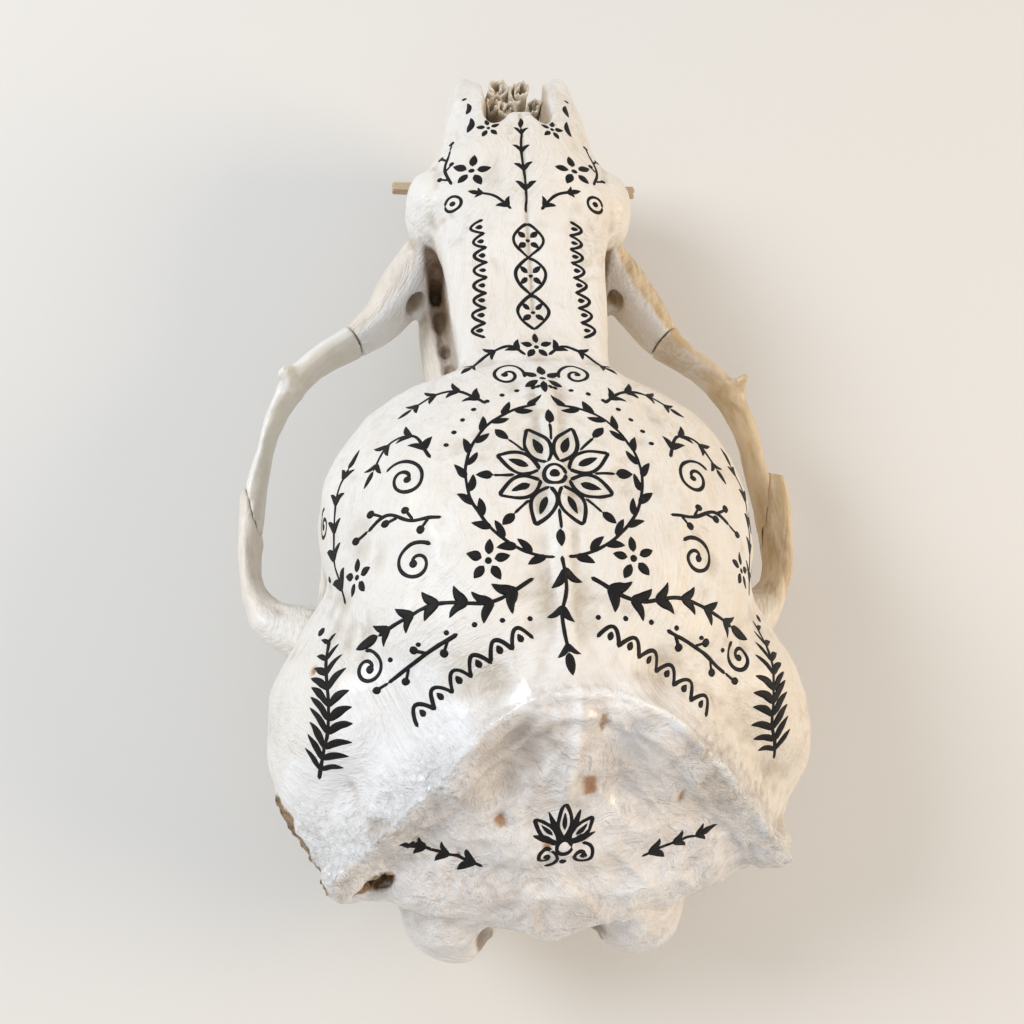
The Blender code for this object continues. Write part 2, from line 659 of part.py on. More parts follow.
def main():
    for obj in list(bpy.data.objects):
        bpy.data.objects.remove(obj)
    nodes = part_bone(fused_bone()) + [wooden_peg()]
    set_down(nodes)
    finishes = {
        "braincase": painted("white paint on bone", (0.86, 0.84, 0.80), 0.5),
        "snout": painted("white paint on snout", (0.86, 0.83, 0.77), 0.55),
        "cheek_bone_left": painted("bare ivory bone", (0.74, 0.71, 0.63), 0.5),
        "cheek_bone_right": painted("bare tan bone", (0.72, 0.65, 0.52), 0.5),
        "wooden_peg": painted("pale wood", (0.70, 0.56, 0.40), 0.7),
    }
    for obj in nodes:
        obj.data.materials.append(finishes[obj.name])
        obj.data.shade_smooth()


main()
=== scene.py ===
"""The painted seal skull: its bone surface, its ink ornament, the plates in its nose and its stick.

Lengths in the shape functions are millimetres on the skull: x from the midline, y from the back
of the condyles towards the snout, z from the floor.
"""

import math
import bmesh
import bpy
import numpy as np
from mathutils import Matrix, Vector
from mathutils.bvhtree import BVHTree


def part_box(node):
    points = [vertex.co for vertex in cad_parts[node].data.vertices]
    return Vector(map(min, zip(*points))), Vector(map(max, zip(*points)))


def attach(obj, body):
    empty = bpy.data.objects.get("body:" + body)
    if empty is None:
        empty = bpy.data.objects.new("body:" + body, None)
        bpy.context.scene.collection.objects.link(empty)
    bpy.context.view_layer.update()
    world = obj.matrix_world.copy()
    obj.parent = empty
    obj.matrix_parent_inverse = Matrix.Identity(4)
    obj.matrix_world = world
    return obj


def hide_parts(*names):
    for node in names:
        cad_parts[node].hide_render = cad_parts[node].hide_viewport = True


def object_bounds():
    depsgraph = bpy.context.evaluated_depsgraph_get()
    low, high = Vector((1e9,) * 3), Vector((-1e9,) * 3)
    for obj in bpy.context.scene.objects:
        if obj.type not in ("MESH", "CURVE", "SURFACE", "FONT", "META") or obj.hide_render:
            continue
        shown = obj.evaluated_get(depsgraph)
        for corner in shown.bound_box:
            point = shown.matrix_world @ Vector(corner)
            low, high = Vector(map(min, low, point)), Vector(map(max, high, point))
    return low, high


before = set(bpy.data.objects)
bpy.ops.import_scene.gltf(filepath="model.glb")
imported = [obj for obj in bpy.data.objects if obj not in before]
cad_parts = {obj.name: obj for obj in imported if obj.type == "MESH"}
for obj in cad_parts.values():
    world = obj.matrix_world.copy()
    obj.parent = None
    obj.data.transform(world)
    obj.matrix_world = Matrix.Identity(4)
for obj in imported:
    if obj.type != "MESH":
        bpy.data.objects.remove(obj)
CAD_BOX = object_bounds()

bl_info = {
    "name": "Painted seal skull",
    "version": (1, 0, 0),
    "blender": (4, 5, 0),
    "location": "View3D > Sidebar > Skull",
    "description": "Builds the looks of a painted seal skull around its solid model",
    "category": "Object",
}

MM = 0.001
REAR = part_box("braincase")[0][1]
STICK_LEFT_END = -33.0
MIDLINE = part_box("wooden_peg")[0][0] - STICK_LEFT_END * MM
CAD_NAMES = ("braincase", "snout", "cheek_bone_left", "cheek_bone_right", "wooden_peg")


class BoneSettings(bpy.types.PropertyGroup):
    grid: bpy.props.FloatProperty(
        name="Grid", description="Spacing of the rebuilt bone surface",
        default=0.0008, unit="LENGTH")
    cheek_grid: bpy.props.FloatProperty(
        name="Cheek grid", description="Spacing of the rebuilt cheek bones",
        default=0.00055, unit="LENGTH")
    triangles: bpy.props.IntProperty(
        name="Triangles", description="Most triangles of the bone surface", default=194000)
    wrinkle: bpy.props.FloatProperty(
        name="Wrinkle", description="Depth of the wrinkles on the back of the skull",
        default=0.00045, unit="LENGTH")


class PaintSettings(bpy.types.PropertyGroup):
    # White and Cream are also painted light: painted_bone turns the paint cream towards the right half, as
    # painted warm light and shade, and keeps it whiter towards the left.
    white: bpy.props.FloatVectorProperty(
        name="White", description="Paint on the left half", size=3, subtype="COLOR",
        default=(0.85, 0.835, 0.81))
    # Thick white is also the colour of the painted highlight on the inner face of the cheek roots.
    thick: bpy.props.FloatVectorProperty(
        name="Thick white", description="Paint where it lies thick", size=3, subtype="COLOR",
        default=(0.93, 0.935, 0.94))
    cream: bpy.props.FloatVectorProperty(
        name="Cream", description="Paint where the bone warms it", size=3, subtype="COLOR",
        default=(0.80, 0.71, 0.58))
    wash: bpy.props.FloatVectorProperty(
        name="Wash", description="Greyish beige that shows between the strokes", size=3, subtype="COLOR",
        default=(0.60, 0.53, 0.41))
    stain: bpy.props.FloatVectorProperty(
        name="Stain", description="Grey beige of the hollows", size=3, subtype="COLOR",
        default=(0.47, 0.40, 0.31))
    pearl: bpy.props.FloatVectorProperty(
        name="Pearl", description="Taupe that shows through the pearly coat", size=3, subtype="COLOR",
        default=(0.64, 0.56, 0.50))
    milk: bpy.props.FloatVectorProperty(
        name="Milk", description="The pearly coat where it is thick", size=3, subtype="COLOR",
        default=(0.90, 0.88, 0.86))
    ochre: bpy.props.FloatVectorProperty(
        name="Ochre", description="Broken bone", size=3, subtype="COLOR",
        default=(0.36, 0.20, 0.055))


class InkSettings(bpy.types.PropertyGroup):
    width: bpy.props.FloatProperty(
        name="Line width", description="Width of the pen line", default=0.0008, unit="LENGTH")
    colour: bpy.props.FloatVectorProperty(
        name="Ink", description="Colour of the ink", size=3, subtype="COLOR",
        default=(0.008, 0.0075, 0.008))


class StageSettings(bpy.types.PropertyGroup):
    floor_colour: bpy.props.FloatVectorProperty(
        name="Floor", description="Colour of the pale floor", size=3, subtype="COLOR",
        default=(0.735, 0.725, 0.70))
    key_power: bpy.props.FloatProperty(
        name="Key", description="Power of the cool soft light on the left", default=5.9, unit="POWER")
    warm_power: bpy.props.FloatProperty(
        name="Warm", description="Power of the warm soft light on the right", default=5.6, unit="POWER")


# Numbers worked out as whole arrays


def ease(low, high, value):
    """0 below low, 1 above high, and 3t^2 - 2t^3 between."""
    t = np.clip((value - low) / (high - low), 0, 1)
    return t * t * (3 - 2 * t)


def bell(distance, width):
    """1 at no distance, falling as exp(-d^2 / w^2)."""
    return np.exp(-((distance / width) ** 2))


def lattice_noise(points, size, seed):
    """Values -1 to 1 at the corners of cubes of that size, blended by 6t^5 - 15t^4 + 10t^3."""
    place = points / size
    cell = np.floor(place).astype(np.int64)
    part = place - cell
    blend = part**3 * (part * (part * 6 - 15) + 10)
    total = np.zeros(len(points))
    for corner in range(8):
        step = np.array([corner & 1, corner >> 1 & 1, corner >> 2 & 1])
        at = cell + step
        key = at[:, 0] * 73856093 ^ at[:, 1] * 19349663 ^ at[:, 2] * 83492791 ^ seed * 40503
        key = (key ^ (key >> 13)) * 1274126177
        value = ((key ^ (key >> 16)) & 0xFFFF) / 32767.5 - 1
        total += value * np.prod(np.where(step == 1, blend, 1 - blend), axis=1)
    return total


def rough(points, size, octaves, seed):
    """Sum of noises, each of half the size and half the height of the one before."""
    return sum(lattice_noise(points, size / 2**k, seed + k) / 2**k for k in range(octaves))


def creased(points, size, seed):
    """Sharp crests, 1 - |noise|, raised to the third power, about 0 to 1."""
    return (1 - np.abs(lattice_noise(points, size, seed))) ** 3


def run_distance(places, path):
    """Shortest distance on the plan from each place to a path of straight runs."""
    nearest = np.full(len(places), np.inf)
    for start, end in zip(path[:-1], path[1:]):
        start, run = np.array(start, float), np.subtract(end, start)
        share = np.clip((places[:, :2] - start) @ run / (run @ run), 0, 1)
        away = np.linalg.norm(places[:, :2] - start - share[:, None] * run, axis=1)
        nearest = np.minimum(nearest, away)
    return nearest


def to_skull(points):
    """Frame metres to skull millimetres."""
    return (points - np.array([MIDLINE, REAR, 0])) / MM


def to_frame(points):
    return points * MM + np.array([MIDLINE, REAR, 0])


def column_array(items, name, wide, kind=np.float64):
    values = np.empty(len(items) * wide, kind)
    items.foreach_get(name, values)
    return values.reshape(-1, wide)


def mesh_arrays(mesh):
    """A mesh's points, their normals, and its edges."""
    return (column_array(mesh.vertices, "co", 3), column_array(mesh.vertices, "normal", 3),
            column_array(mesh.edges, "vertices", 2, np.int64))


def neighbour_mean(values, edges, count):
    """Mean of each point's neighbours along the edges."""
    ends = np.bincount(edges.ravel(), minlength=count)
    total = np.empty_like(values)
    for axis in range(values.shape[1]):
        column = values[:, axis]
        total[:, axis] = np.bincount(edges[:, 0], column[edges[:, 1]], count)
        total[:, axis] += np.bincount(edges[:, 1], column[edges[:, 0]], count)
    return total / np.maximum(ends, 1)[:, None]


def melt(points, edges, rounds, keep=0.53):
    """Moves points to their neighbours' mean and back again a little more, so volume stays."""
    for _ in range(rounds):
        points = points + 0.5 * (neighbour_mean(points, edges, len(points)) - points)
        points = points - keep * (neighbour_mean(points, edges, len(points)) - points)
    return points


def smoothed(points, edges, rounds):
    for _ in range(rounds):
        points = points + 0.5 * (neighbour_mean(points, edges, len(points)) - points)
    return points


def hollowness(points, normals, edges, rounds):
    """How far a smoothed copy lies outside the surface, in millimetres: above 0 in a hollow."""
    return ((smoothed(points, edges, rounds) - points) * normals).sum(axis=1)


# Meshes


def linked(name, data):
    """A new object with that data, in the scene."""
    obj = bpy.data.objects.new(name, data)
    bpy.context.scene.collection.objects.link(obj)
    return obj


def new_mesh_object(name, points, faces, smooth=True):
    mesh = bpy.data.meshes.new(name)
    mesh.from_pydata(points, [], faces)
    mesh.update()
    if smooth:
        mesh.shade_smooth()
    return linked(name, mesh)


def set_attribute(obj, name, values):
    layer = obj.data.attributes.new(name, "FLOAT", "POINT")
    layer.data.foreach_set("value", np.ascontiguousarray(values, np.float32))


def bake_modifiers(obj):
    graph = bpy.context.evaluated_depsgraph_get()
    mesh = bpy.data.meshes.new_from_object(obj.evaluated_get(graph))
    obj.modifiers.clear()
    old, obj.data = obj.data, mesh
    bpy.data.meshes.remove(old)


def merged_copy(name, nodes, grow):
    """One mesh from copies of solid nodes, merged and moved out along their normals by grow."""
    bm = bmesh.new()
    for node in nodes:
        bm.from_mesh(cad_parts[node].data)
    bmesh.ops.remove_doubles(bm, verts=bm.verts, dist=0.000002)
    mesh = bpy.data.meshes.new(name)
    bm.to_mesh(mesh)
    bm.free()
    points, normals, _ = mesh_arrays(mesh)
    mesh.vertices.foreach_set("co", (points + normals * grow).ravel())
    return linked(name, mesh)


def rebuild(obj, grid):
    remesh = obj.modifiers.new("Remesh", "REMESH")
    remesh.mode = "VOXEL"
    remesh.voxel_size = grid
    bake_modifiers(obj)


def thin_out(obj, triangles):
    now = sum(len(p.vertices) - 2 for p in obj.data.polygons)
    if now > triangles:
        thin = obj.modifiers.new("Decimate", "DECIMATE")
        thin.ratio = triangles / now
        bake_modifiers(obj)


def put_points(obj, points):
    obj.data.vertices.foreach_set("co", np.ascontiguousarray(points).ravel())
    obj.data.update()


def grid_faces(rows, columns, closed_columns=False, first=0):
    """Quads of a grid of rows by columns of points, closed round its columns if asked."""
    wide = columns if closed_columns else columns - 1
    i, j = np.meshgrid(np.arange(rows - 1), np.arange(wide), indexing="ij")
    k = (j + 1) % columns
    row, after = i * columns, (i + 1) * columns
    quads = np.stack([row + j, row + k, after + k, after + j], -1)
    return (quads.reshape(-1, 4) + first).tolist()


# Materials


class Nodes:
    """Writes a node tree: add() makes a node and sets or links each input that it is given."""

    def __init__(self, tree):
        self.tree = tree

    def add(self, kind, inputs=(), **settings):
        node = self.tree.nodes.new(kind)
        for key, value in settings.items():
            setattr(node, key, value)
        for key, value in dict(inputs).items():
            if isinstance(value, bpy.types.NodeSocket):
                self.tree.links.new(value, node.inputs[key])
            else:
                node.inputs[key].default_value = value
        return node

    def math(self, operation, *values, clamp=False):
        node = self.add("ShaderNodeMath", dict(enumerate(values)), operation=operation, use_clamp=clamp)
        return node.outputs[0]

    def times(self, *values, **settings):
        return self.math("MULTIPLY", *values, **settings)

    def plus(self, first, second):
        return self.math("ADD", first, second)

    def less(self, first, second):
        return self.math("SUBTRACT", first, second)

    def most(self, first, second):
        return self.math("MAXIMUM", first, second)

    def fused(self, value, factor, added):
        return self.math("MULTIPLY_ADD", value, factor, added)

    def span(self, value, low, high):
        node = self.add("ShaderNodeMapRange", {"Value": value, "From Min": low, "From Max": high},
                        interpolation_type="SMOOTHSTEP")
        return node.outputs["Result"]

    def mix(self, share, first, second):
        node = self.add("ShaderNodeMix", data_type="RGBA")
        for socket, value in ((node.inputs[0], share), (node.inputs[6], first), (node.inputs[7], second)):
            if isinstance(value, bpy.types.NodeSocket):
                self.tree.links.new(value, socket)
            elif socket.type == "RGBA":
                socket.default_value = (*value[:3], 1)
            else:
                socket.default_value = value
        return node.outputs[2]

    def noise(self, place, scale, detail=4.0, roughness=0.55, distortion=0.0):
        node = self.add("ShaderNodeTexNoise", {"Vector": place, "Scale": scale, "Detail": detail,
                                               "Roughness": roughness, "Distortion": distortion})
        return node.outputs["Fac"]

    def stretched(self, place, scale):
        return self.add("ShaderNodeMapping", {"Vector": place, "Scale": scale}).outputs[0]

    def feed(self, node, name, value):
        self.tree.links.new(value, node.inputs[name])

    def attribute(self, name):
        return self.add("ShaderNodeAttribute", attribute_name=name).outputs["Fac"]

    def place(self):
        return self.add("ShaderNodeTexCoord").outputs["Object"]


def new_group(name, inputs, outputs):
    tree = bpy.data.node_groups.new(name, "ShaderNodeTree")
    for label, kind, default in inputs:
        socket = tree.interface.new_socket(label, in_out="INPUT", socket_type=kind)
        if default is not None:
            socket.default_value = default
    for label, kind in outputs:
        tree.interface.new_socket(label, in_out="OUTPUT", socket_type=kind)
    ends = tree.nodes.new("NodeGroupInput"), tree.nodes.new("NodeGroupOutput")
    return tree, Nodes(tree), ends[0].outputs, ends[1].inputs


def brushed_group():
    """Dry brush strokes: fine straight lines along a direction, a little bent, in broken patches."""
    if "Brush strokes" in bpy.data.node_groups:
        return bpy.data.node_groups["Brush strokes"]
    tree, n, given, result = new_group(
        "Brush strokes",
        [("Vector", "NodeSocketVector", None), ("Turn", "NodeSocketFloat", 0.0)],
        [("Marks", "NodeSocketFloat"), ("Height", "NodeSocketFloat")])
    bend = n.noise(given["Vector"], 22.0, 1.0)
    swing = n.fused(n.less(bend, 0.5), 1.5, given["Turn"])
    turned = n.add("ShaderNodeVectorRotate", {"Vector": given["Vector"], "Angle": swing},
                   rotation_type="Z_AXIS").outputs[0]
    fine = n.noise(n.stretched(turned, (1500, 110, 1500)), 1.0, 2.0, 0.6)
    coarse = n.noise(n.stretched(turned, (520, 55, 520)), 1.0, 3.0, 0.62)
    lines = n.plus(n.times(fine, 0.4), n.times(coarse, 0.6))
    tree.links.new(n.span(lines, 0.40, 0.60), result["Marks"])
    tree.links.new(lines, result["Height"])
    return tree


def stain_group():
    """Age on bone: darker in the hollows, mottled grime and specks. Gives the stained colour and
    roughness.
    """
    if "Bone stain" in bpy.data.node_groups:
        return bpy.data.node_groups["Bone stain"]
    tree, n, given, result = new_group(
        "Bone stain",
        [("Vector", "NodeSocketVector", None), ("Colour", "NodeSocketColor", (0.8, 0.8, 0.8, 1)),
         ("Stain", "NodeSocketColor", (0.4, 0.3, 0.2, 1)), ("Hollow", "NodeSocketFloat", 0.0),
         ("Amount", "NodeSocketFloat", 0.5)],
        [("Colour", "NodeSocketColor"), ("Roughness", "NodeSocketFloat"), ("Grain", "NodeSocketFloat")])
    broad = n.noise(given["Vector"], 55.0, 5.0, 0.6)
    grain = n.noise(given["Vector"], 900.0, 4.0, 0.65)
    grime = n.times(n.span(broad, 0.42, 0.68), given["Amount"])
    # Darker in the hollows, by how far the surface lies below its smoothed copy.
    hollow_darkening = n.times(given["Hollow"], n.fused(grain, 1.1, 0.35), clamp=True)
    both = n.most(n.times(grime, 0.42), n.times(hollow_darkening, 0.9))
    speck = n.times(n.span(n.noise(given["Vector"], 420.0, 2.0), 0.68, 0.76), 0.35)
    share = n.most(both, n.times(speck, given["Amount"]))
    tree.links.new(n.mix(share, given["Colour"], given["Stain"]), result["Colour"])
    tree.links.new(n.fused(grain, 0.28, 0.36), result["Roughness"])
    tree.links.new(grain, result["Grain"])
    return tree


def use_group(n, tree, inputs):
    node = n.tree.nodes.new("ShaderNodeGroup")
    node.node_tree = tree
    for key, value in inputs.items():
        if isinstance(value, bpy.types.NodeSocket):
            n.tree.links.new(value, node.inputs[key])
        else:
            node.inputs[key].default_value = value
    return node.outputs


def new_material(name):
    material = bpy.data.materials.new(name)
    material.use_nodes = True
    shader = material.node_tree.nodes["Principled BSDF"]
    return material, Nodes(material.node_tree), shader


def bump_into(n, shader, height, distance, strength=1.0):
    bump = n.add("ShaderNodeBump", {"Height": height, "Distance": distance, "Strength": strength})
    n.feed(shader, "Normal", bump.outputs[0])


def painted_bone():
    """White brushed paint over bone, pearly on the back, with raw, stained and broken places. It also
    paints light and shade: warm light and shade on the right half, ochre shade on the right cheek roots
    and arch, dark brown shade in the slits and notches, and a white highlight on the inner face of the
    cheek roots.
    """
    paint = bpy.context.scene.skull_paint
    material, n, shader = new_material("painted bone")
    place = n.place()
    hollow, pearl, broken, raw, inside, thick, crumbly, tan = (
        n.attribute(name) for name in
        ("hollow", "pearl", "broken", "raw", "inside", "thick", "crumbly", "tan"))
    apart = n.add("ShaderNodeSeparateXYZ", {0: place}).outputs
    strokes = use_group(n, brushed_group(), {"Vector": place, "Turn": 0.12})
    # Painted warm light and shade on the right half: towards the right the paint turns cream, takes fewer
    # white strokes and more wash mottling.
    warm_shade_right = n.span(apart["X"], -0.030, 0.045)
    blotch = n.span(n.noise(place, 30.0, 5.0, 0.62), 0.36, 0.60)
    creamy = n.times(n.fused(warm_shade_right, 0.55, 0.40), n.fused(blotch, 0.6, 0.4))
    base = n.mix(creamy, paint.white, paint.cream)
    swept = n.times(strokes["Marks"], n.fused(warm_shade_right, -0.35, 0.75))
    base = n.mix(swept, base, paint.white)
    worn = n.span(n.noise(place, 24.0, 4.0, 0.6, 0.5), 0.46, 0.62)
    smudge = n.span(n.noise(place, 170.0, 6.0, 0.72, 0.8), 0.50, 0.66)
    mottled = n.times(n.times(smudge, worn), n.fused(warm_shade_right, 0.55, 0.35))
    base = n.mix(mottled, base, paint.wash)
    stained = use_group(n, stain_group(), {
        "Vector": place, "Colour": base, "Stain": (*paint.stain, 1), "Hollow": hollow, "Amount": 0.22})
    veins = n.noise(n.stretched(place, (200, 120, 200)), 1.0, 7.0, 0.66, 1.4)
    cloud = n.noise(place, 48.0, 4.0, 0.6, 0.8)
    milk = n.plus(n.times(n.span(veins, 0.38, 0.62), 0.5), n.times(n.span(cloud, 0.36, 0.62), 0.5))
    pearly = n.mix(milk, paint.pearl, paint.milk)
    pearly = n.mix(n.times(strokes["Marks"], 0.30), pearly, paint.milk)
    pearly = n.mix(n.times(n.attribute("taupe"), 0.7), pearly, (0.44, 0.35, 0.27))
    colour = n.mix(n.times(pearl, 0.9), stained["Colour"], pearly)
    # Thick white paint, and the painted highlight on the inner face of the cheek roots.
    laid_and_highlight = n.times(thick, n.fused(strokes["Marks"], 0.3, 0.7))
    colour = n.mix(laid_and_highlight, colour, paint.thick)
    raw_bone = n.mix(n.span(n.noise(place, 90.0, 5.0), 0.35, 0.7),
                     (0.70, 0.61, 0.45), (0.80, 0.73, 0.60))
    colour = n.mix(raw, colour, raw_bone)
    # Ochre painted shade on the cheek roots and arches, strongest on the right, read from the tan mask.
    ochre_shade = n.mix(n.span(n.noise(n.stretched(place, (500, 90, 500)), 1.0, 4.0), 0.35, 0.65),
                       (0.50, 0.36, 0.20), (0.72, 0.58, 0.39))
    colour = n.mix(tan, colour, ochre_shade)
    nose = n.mix(n.noise(place, 300.0, 4.0), (0.34, 0.25, 0.15), (0.66, 0.56, 0.42))
    colour = n.mix(inside, colour, nose)
    # Dark brown painted shade in the slits and the condyle notches.
    colour = n.mix(n.attribute("painted_shade"), colour, (0.22, 0.135, 0.075))
    colour = n.mix(n.times(n.attribute("rust"), 0.9), colour, (0.42, 0.20, 0.06))
    spongy = n.mix(n.span(n.noise(place, 620.0, 4.0, 0.7), 0.36, 0.60),
                   (0.05, 0.022, 0.006), paint.ochre)
    colour = n.mix(broken, colour, spongy)
    n.feed(shader, "Base Color", colour)
    gloss = n.most(pearl, n.times(crumbly, 0.5))
    n.feed(shader, "Coat Weight", n.fused(gloss, 0.8, 0.15))
    calm = n.less(stained["Roughness"], n.times(gloss, 0.12))
    n.feed(shader, "Roughness", n.most(calm, 0.25))
    shader.inputs["Coat Roughness"].default_value = 0.16
    height = n.plus(n.times(strokes["Height"], 1.6), n.times(stained["Grain"], 0.3))
    ripple = n.noise(n.stretched(place, (190, 110, 190)), 1.0, 5.0, 0.55, 0.8)
    fold = n.math("ABSOLUTE", n.less(ripple, 0.5))
    foil = n.fused(fold, -5.0, n.times(ripple, 2.0))
    height = n.plus(height, n.times(foil, pearl))
    swell = n.noise(place, 95.0, 4.0, 0.55, 0.6)
    height = n.fused(swell, 2.2, height)
    grit = n.noise(place, 620.0, 5.0, 0.62, 0.7)
    height = n.plus(height, n.times(grit, n.times(crumbly, 3.4)))
    bump_into(n, shader, height, 0.0005, 0.95)
    return material


def bare_bone(name, light, dark, painted):
    """Thinly painted bone, ivory or tan, the tan being painted shade on the right cheek bone: long fibres,
    mottling, and a white film along the edge, which is paint on the left cheek bone and a painted
    highlight on the inner front face of the right one.
    """
    paint = bpy.context.scene.skull_paint
    material, n, shader = new_material(name)
    place = n.place()
    hollow, white = n.attribute("hollow"), n.attribute("white")
    fibres = n.noise(n.stretched(place, (500, 60, 500)), 1.0, 3.0, 0.5)
    base = n.mix(n.span(n.plus(n.times(fibres, 0.4), n.times(n.noise(place, 60.0), 0.6)),
                        0.38, 0.62), dark, light)
    stain = (*[0.6 * c for c in dark], 1)
    stained = use_group(n, stain_group(), {
        "Vector": place, "Colour": base, "Stain": stain, "Hollow": hollow, "Amount": 0.25})
    strokes = use_group(n, brushed_group(), {"Vector": place, "Turn": 0.9})
    # The white film: paint, and on the right cheek bone a painted highlight.
    paint_film_and_highlight = n.times(n.fused(strokes["Marks"], 0.5, 0.5), white)
    paint_film_and_highlight = n.most(paint_film_and_highlight, n.times(strokes["Marks"], painted))
    n.feed(shader, "Base Color", n.mix(paint_film_and_highlight, stained["Colour"], paint.white))
    n.feed(shader, "Roughness", n.times(stained["Roughness"], 0.85))
    shader.inputs["Coat Weight"].default_value = 0.25
    bump_into(n, shader, n.plus(fibres, stained["Grain"]), 0.00010, 0.6)
    return material


def ink_material():
    """Pen ink: near black, a little grey where the pen ran dry, half glossy."""
    colour = bpy.context.scene.skull_ink.colour
    material, n, shader = new_material("black ink")
    place = n.place()
    dry = n.span(n.noise(place, 1500.0, 4.0, 0.7), 0.56, 0.74)
    worn = n.times(dry, n.span(n.noise(place, 70.0, 3.0), 0.35, 0.7))
    n.feed(shader, "Base Color", n.mix(n.times(worn, 0.45), colour, (0.13, 0.115, 0.11)))
    n.feed(shader, "Roughness", n.fused(n.noise(place, 400.0), 0.3, 0.42))
    shader.inputs["Specular IOR Level"].default_value = 0.22
    bump_into(n, shader, n.noise(place, 2500.0, 3.0), 0.00004, 0.6)
    return material


def tooth_material():
    """Ivory enamel, browner at the gum and hair-cracked along its length."""
    material, n, shader = new_material("tooth")
    place = n.place()
    apart = n.add("ShaderNodeSeparateXYZ", {0: place}).outputs
    low = n.span(apart["Z"], 0.008, 0.020)
    base = n.mix(low, (0.82, 0.76, 0.62), (0.52, 0.40, 0.24))
    cracks = n.span(n.noise(n.stretched(place, (1600, 1600, 150)), 1.0, 4.0, 0.6), 0.60, 0.66)
    n.feed(shader, "Base Color", n.mix(n.times(cracks, 0.6), base, (0.30, 0.20, 0.11)))
    n.feed(shader, "Roughness", n.fused(n.noise(place, 500.0), 0.2, 0.16))
    bump_into(n, shader, cracks, 0.0001, -0.5)
    return material


def scroll_material():
    """Thin tan bone plates, mottled lighter and darker."""
    material, n, shader = new_material("nose plates")
    place = n.place()
    patch = n.noise(place, 260.0, 5.0, 0.65)
    tan = n.mix(n.span(patch, 0.30, 0.60), (0.46, 0.35, 0.23), (0.82, 0.75, 0.64))
    n.feed(shader, "Base Color", tan)
    n.feed(shader, "Roughness", n.fused(patch, 0.2, 0.6))
    bump_into(n, shader, n.noise(place, 1400.0, 4.0, 0.7), 0.0002, 0.8)
    return material


def wood_material():
    """Pale split wood: grain lines along the stick and dark pores."""
    material, n, shader = new_material("pale wood")
    place = n.place()
    grain = n.noise(n.stretched(place, (70, 2200, 2200)), 1.0, 5.0, 0.6)
    pores = n.span(n.noise(n.stretched(place, (160, 5000, 5000)), 1.0, 2.0), 0.62, 0.72)
    base = n.mix(n.span(grain, 0.3, 0.7), (0.42, 0.29, 0.17), (0.72, 0.59, 0.42))
    n.feed(shader, "Base Color", n.mix(n.times(pores, 0.6), base, (0.20, 0.13, 0.07)))
    n.feed(shader, "Roughness", n.fused(grain, 0.2, 0.6))
    bump_into(n, shader, grain, 0.00025, 0.8)
    return material


# The bone surface

NUCHAL_LEFT = ((0.0, 51.5), (-7.0, 50.6), (-15.5, 46.0), (-22.5, 38.0), (-33.0, 29.0), (-44.0, 20.0))
NUCHAL_RIGHT = ((0.0, 51.5), (10.0, 51.0), (19.5, 47.0), (29.0, 39.5), (40.0, 29.5), (52.0, 19.5))
LIP = ((-43.0, 16.0), (-31.0, 15.0), (-12.0, 9.0), (0.0, 7.0), (20.0, 11.0), (43.0, 14.0))
NOSE_SEAM = ((-0.2, 142.0), (0.15, 150.0), (-0.2, 158.0), (0.1, 170.0), (0.0, 200.0))
SCOOPS = (
    ((-58.6, 31.5, 49.0), (3.8, 6.0, 8.5)),
    ((-55.0, 25.5, 50.0), (4.4, 5.4, 8.5)),
    ((-50.8, 20.2, 50.0), (4.2, 4.4, 8.5)),
    ((-37.0, 19.2, 61.0), (4.8, 2.4, 5.0)),
)
SCOOP_TURN = (20, 15, 30)
PITS = ((-11.7, 29.9, 1.5, 1.2), (5.1, 35.9, 1.7, 1.0), (6.4, 46.6, 1.1, 0.8), (-2.6, 24.8, 0.9, 0.8),
        (-20.0, 24.0, 0.7, 0.6), (24.0, 33.0, 0.8, 0.7), (-48.0, 60.0, 0.8, 0.5))
PALATE = (112.0, 13.0, 0.065)
NOTCHES = ((-12.0, 3.0, 1.9, 1.8), (13.2, 3.0, 1.3, 1.0))
SLIT = ((22.0, 169.0), (20.6, 160.0), (19.0, 149.5), (17.2, 140.0))


def below_case(places):
    """1 where a place is on the back of the skull, behind the nuchal crest."""
    behind = np.full(len(places), -np.inf)
    for path in (NUCHAL_LEFT, NUCHAL_RIGHT):
        xs, ys = np.array(path).T
        order = np.argsort(xs)
        inside = (places[:, 0] >= xs.min()) & (places[:, 0] <= xs.max())
        level = np.interp(places[:, 0], xs[order], ys[order])
        behind = np.where(inside, np.maximum(behind, level - places[:, 1]), behind)
    return ease(-0.5, 2.5, behind)


def rear_face(places, normals):
    return below_case(places) * ease(40, 52, places[:, 2]) * ease(-0.1, 0.2, normals[:, 2] - normals[:, 1])


def chip_mask(places):
    """1 inside the scoops broken out of the left rear edge, with a torn border."""
    x, y, z = (math.radians(a) for a in SCOOP_TURN)
    turn = Matrix.Rotation(z, 3, "Z") @ Matrix.Rotation(x, 3, "X") @ Matrix.Rotation(y, 3, "Y")
    torn = 0.07 * rough(places, 2.2, 3, 71)
    mask = np.zeros(len(places))
    for centre, radii in SCOOPS:
        inside = (places - np.array(centre)) @ np.array(turn) / np.array(radii)
        mask = np.maximum(mask, ease(1.20, 1.10, np.linalg.norm(inside, axis=1) + torn))
    return mask


def crest_distance(places):
    return np.minimum(run_distance(places, NUCHAL_LEFT), run_distance(places, NUCHAL_RIGHT))


